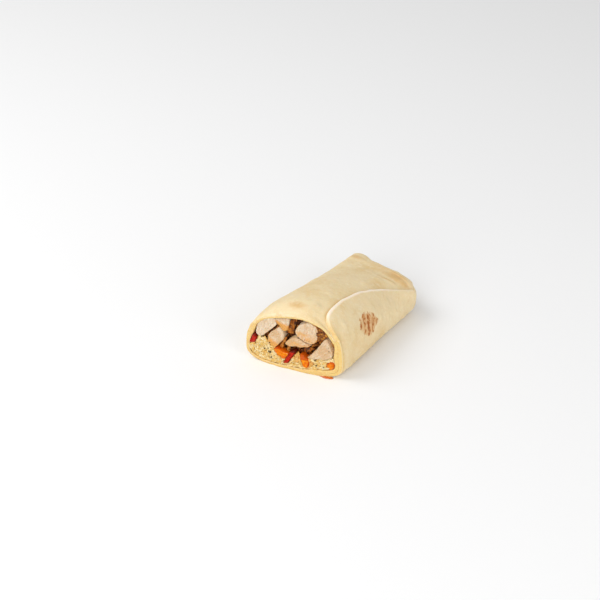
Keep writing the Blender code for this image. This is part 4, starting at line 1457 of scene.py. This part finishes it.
# The larger specks: across, up, size and mm behind the cut
HERB_SPOTS = np.array([
    (-18.8, 9.8, 1.7, 0.2), (-15.0, 8.8, 1.8, 0.2), (-13.8, 5.2, 1.1, 0.2), (14.4, 10.1, 1.4, 0.2),
    (15.1, 6.6, 1.1, 0.2), (14.1, 5.0, 0.9, 0.2), (19.5, 6.4, 0.9, 0.2), (22.2, 21.0, 0.6, 0.3),
    (22.3, 18.4, 0.9, 0.3), (2.6, 22.9, 1.0, 0.8), (6.6, 22.4, 0.6, 0.7), (9.5, 22.2, 0.5, 0.6),
    (-15.7, 15.0, 0.9, 0.6), (-13.8, 22.5, 0.4, 0.8),
])


def sauce_near(points):
    """How much sauce has run into the rice: most next to the peppers and under the onion."""
    far = np.full(points.shape[:-1], 9.0)
    for name, (_, shape) in PIECES.items():
        if name.startswith("pepper"):
            far = np.minimum(far, shape_distance(points[..., :2], shape))
    under = np.clip(rice_top(points[..., 0]) - points[..., 1], 0, None)
    near = 0.8 * np.clip(0.75 - far / 3.2, 0, 1) + 0.3 * np.clip(1 - under / 1.5, 0, 1)
    return near + 0.8 * soft_spots(points, POOLS)


# The dab of sauce: its middle across and in front of the cut, its half sizes across and forward, its height
# and how far it stands off the ground
DAB_AT = (21.8, 0.4)
DAB_SIZE = (4.6, 1.7)
DAB_HEIGHT = 0.9
DAB_FOOT = 0.02


class WRAP_OT_sauce(bpy.types.Operator):
    """Makes the dab of sauce at the foot of the cut"""

    bl_idname = "wrap.sauce"
    bl_label = "Sauce"

    def execute(self, context):
        around, rings = 48, 12
        turn = np.linspace(0, 2 * math.pi, around, endpoint=False)
        share = np.linspace(0, 1, rings)[:, None]
        at = carried(np.array(DAB_AT[0]), np.array(0.0), 0.0)
        ragged = 1 + 0.2 * noise(np.stack([3 * np.cos(turn), 3 * np.sin(turn), 0 * turn], -1), 2, 81)
        x = at[0] + DAB_SIZE[0] * share * np.cos(turn) * ragged
        y = at[1] + CUT_SLANT * (x - at[0]) + DAB_AT[1] + DAB_SIZE[1] * share * np.sin(turn) * ragged
        height = DAB_HEIGHT * np.sqrt(np.clip(1 - share**2, 0, 1)) + 0 * turn
        top = np.stack([x, y, DAB_FOOT + height], -1)
        under = np.stack([x, y, DAB_FOOT + 0 * height], -1)[::-1]
        obj = grid_piece("sauce_dab", np.concatenate([top, under[1:]]), {})
        fit_out(obj, sauce_finish(settings()[1]), "onion")
        return {"FINISHED"}


# The stage, in metres: half the floor's side, how bright the white world is, and each light's place, side and
# power in watts
FLOOR_HALF = 3.0
WORLD_STRENGTH = 0.5
LIGHTS = {
    "key": ((-0.75, -0.45, 1.0), 0.8, 7.5),
    "front": ((0.25, -1.3, 0.6), 0.9, 7.0),
    "side": ((1.2, -0.3, 0.6), 0.9, 4.0),
}


class WRAP_OT_stage(bpy.types.Operator):
    """Makes the floor, the lights and the camera"""

    bl_idname = "wrap.stage"
    bl_label = "Stage"

    def execute(self, context):
        looks = settings()[2]
        scene = context.scene
        corners = [(x * FLOOR_HALF, y * FLOOR_HALF, 0) for x, y in ((-1, -1), (1, -1), (1, 1), (-1, 1))]
        mesh = bpy.data.meshes.new("floor")
        mesh.from_pydata(corners, [], [(0, 1, 2, 3)])
        floor = bpy.data.objects.new("floor", mesh)
        scene.collection.objects.link(floor)
        finish = Finish("floor", looks.floor).made(Roughness=0.9, Specular_IOR_Level=0.1)
        mesh.materials.append(finish)

        target = Vector((-SHIFT[0] * MM, -SHIFT[1] * MM, 0))
        aim = Vector((math.cos(looks.pitch) * math.sin(looks.azimuth),
                      -math.cos(looks.pitch) * math.cos(looks.azimuth), math.sin(looks.pitch)))
        data = bpy.data.cameras.new("camera")
        data.lens = looks.lens
        data.sensor_width = 36.0
        camera = bpy.data.objects.new("camera", data)
        camera.location = target + looks.distance * aim
        camera.rotation_mode = "QUATERNION"
        camera.rotation_quaternion = (-aim).to_track_quat("-Z", "Y")
        scene.collection.objects.link(camera)
        scene.camera = camera

        world = bpy.data.worlds.new("world")
        world.use_nodes = True
        background = world.node_tree.nodes["Background"]
        background.inputs["Color"].default_value = (1.0, 1.0, 1.0, 1.0)
        background.inputs["Strength"].default_value = WORLD_STRENGTH
        scene.world = world
        scene.view_settings.view_transform = "Standard"
        for name, light in LIGHTS.items():
            self.light(name, *light)
        return {"FINISHED"}

    def light(self, name, place, size, power):
        """A square soft light that faces the wrap."""
        data = bpy.data.lights.new(name, "AREA")
        data.size = size
        data.energy = power
        lamp = bpy.data.objects.new(name, data)
        lamp.location = place
        lamp.rotation_mode = "QUATERNION"
        lamp.rotation_quaternion = (-Vector(place)).to_track_quat("-Z", "Y")
        bpy.context.scene.collection.objects.link(lamp)


class WRAP_PT_panel(bpy.types.Panel):
    """Lists the makers of the wrap"""

    bl_idname = "WRAP_PT_panel"
    bl_label = "Chicken wrap"
    bl_space_type = "VIEW_3D"
    bl_region_type = "UI"
    bl_category = "Wrap"

    def draw(self, context):
        for maker in MAKERS:
            self.layout.operator(maker.bl_idname)
        for group in settings():
            box = self.layout.box()
            for key in group.bl_rna.properties.keys():
                if key not in ("rna_type", "name"):
                    box.prop(group, key)


MAKERS = (WRAP_OT_tortilla, WRAP_OT_chicken, WRAP_OT_peppers, WRAP_OT_onion, WRAP_OT_rice, WRAP_OT_sauce,
          WRAP_OT_stage)
SETTINGS = {"wrap_tortilla": WrapTortillaSettings, "wrap_filling": WrapFillingSettings,
            "wrap_stage": WrapStageSettings}


def register():
    for cls in (*SETTINGS.values(), *MAKERS, WRAP_PT_panel):
        bpy.utils.register_class(cls)
    for key, cls in SETTINGS.items():
        setattr(bpy.types.Scene, key, PointerProperty(type=cls))


def unregister():
    for key in SETTINGS:
        delattr(bpy.types.Scene, key)
    for cls in reversed((*SETTINGS.values(), *MAKERS, WRAP_PT_panel)):
        bpy.utils.unregister_class(cls)


def main():
    register()
    for maker in MAKERS:
        group, name = maker.bl_idname.split(".")
        getattr(getattr(bpy.ops, group), name)()


if __name__ == "__main__":
    main()
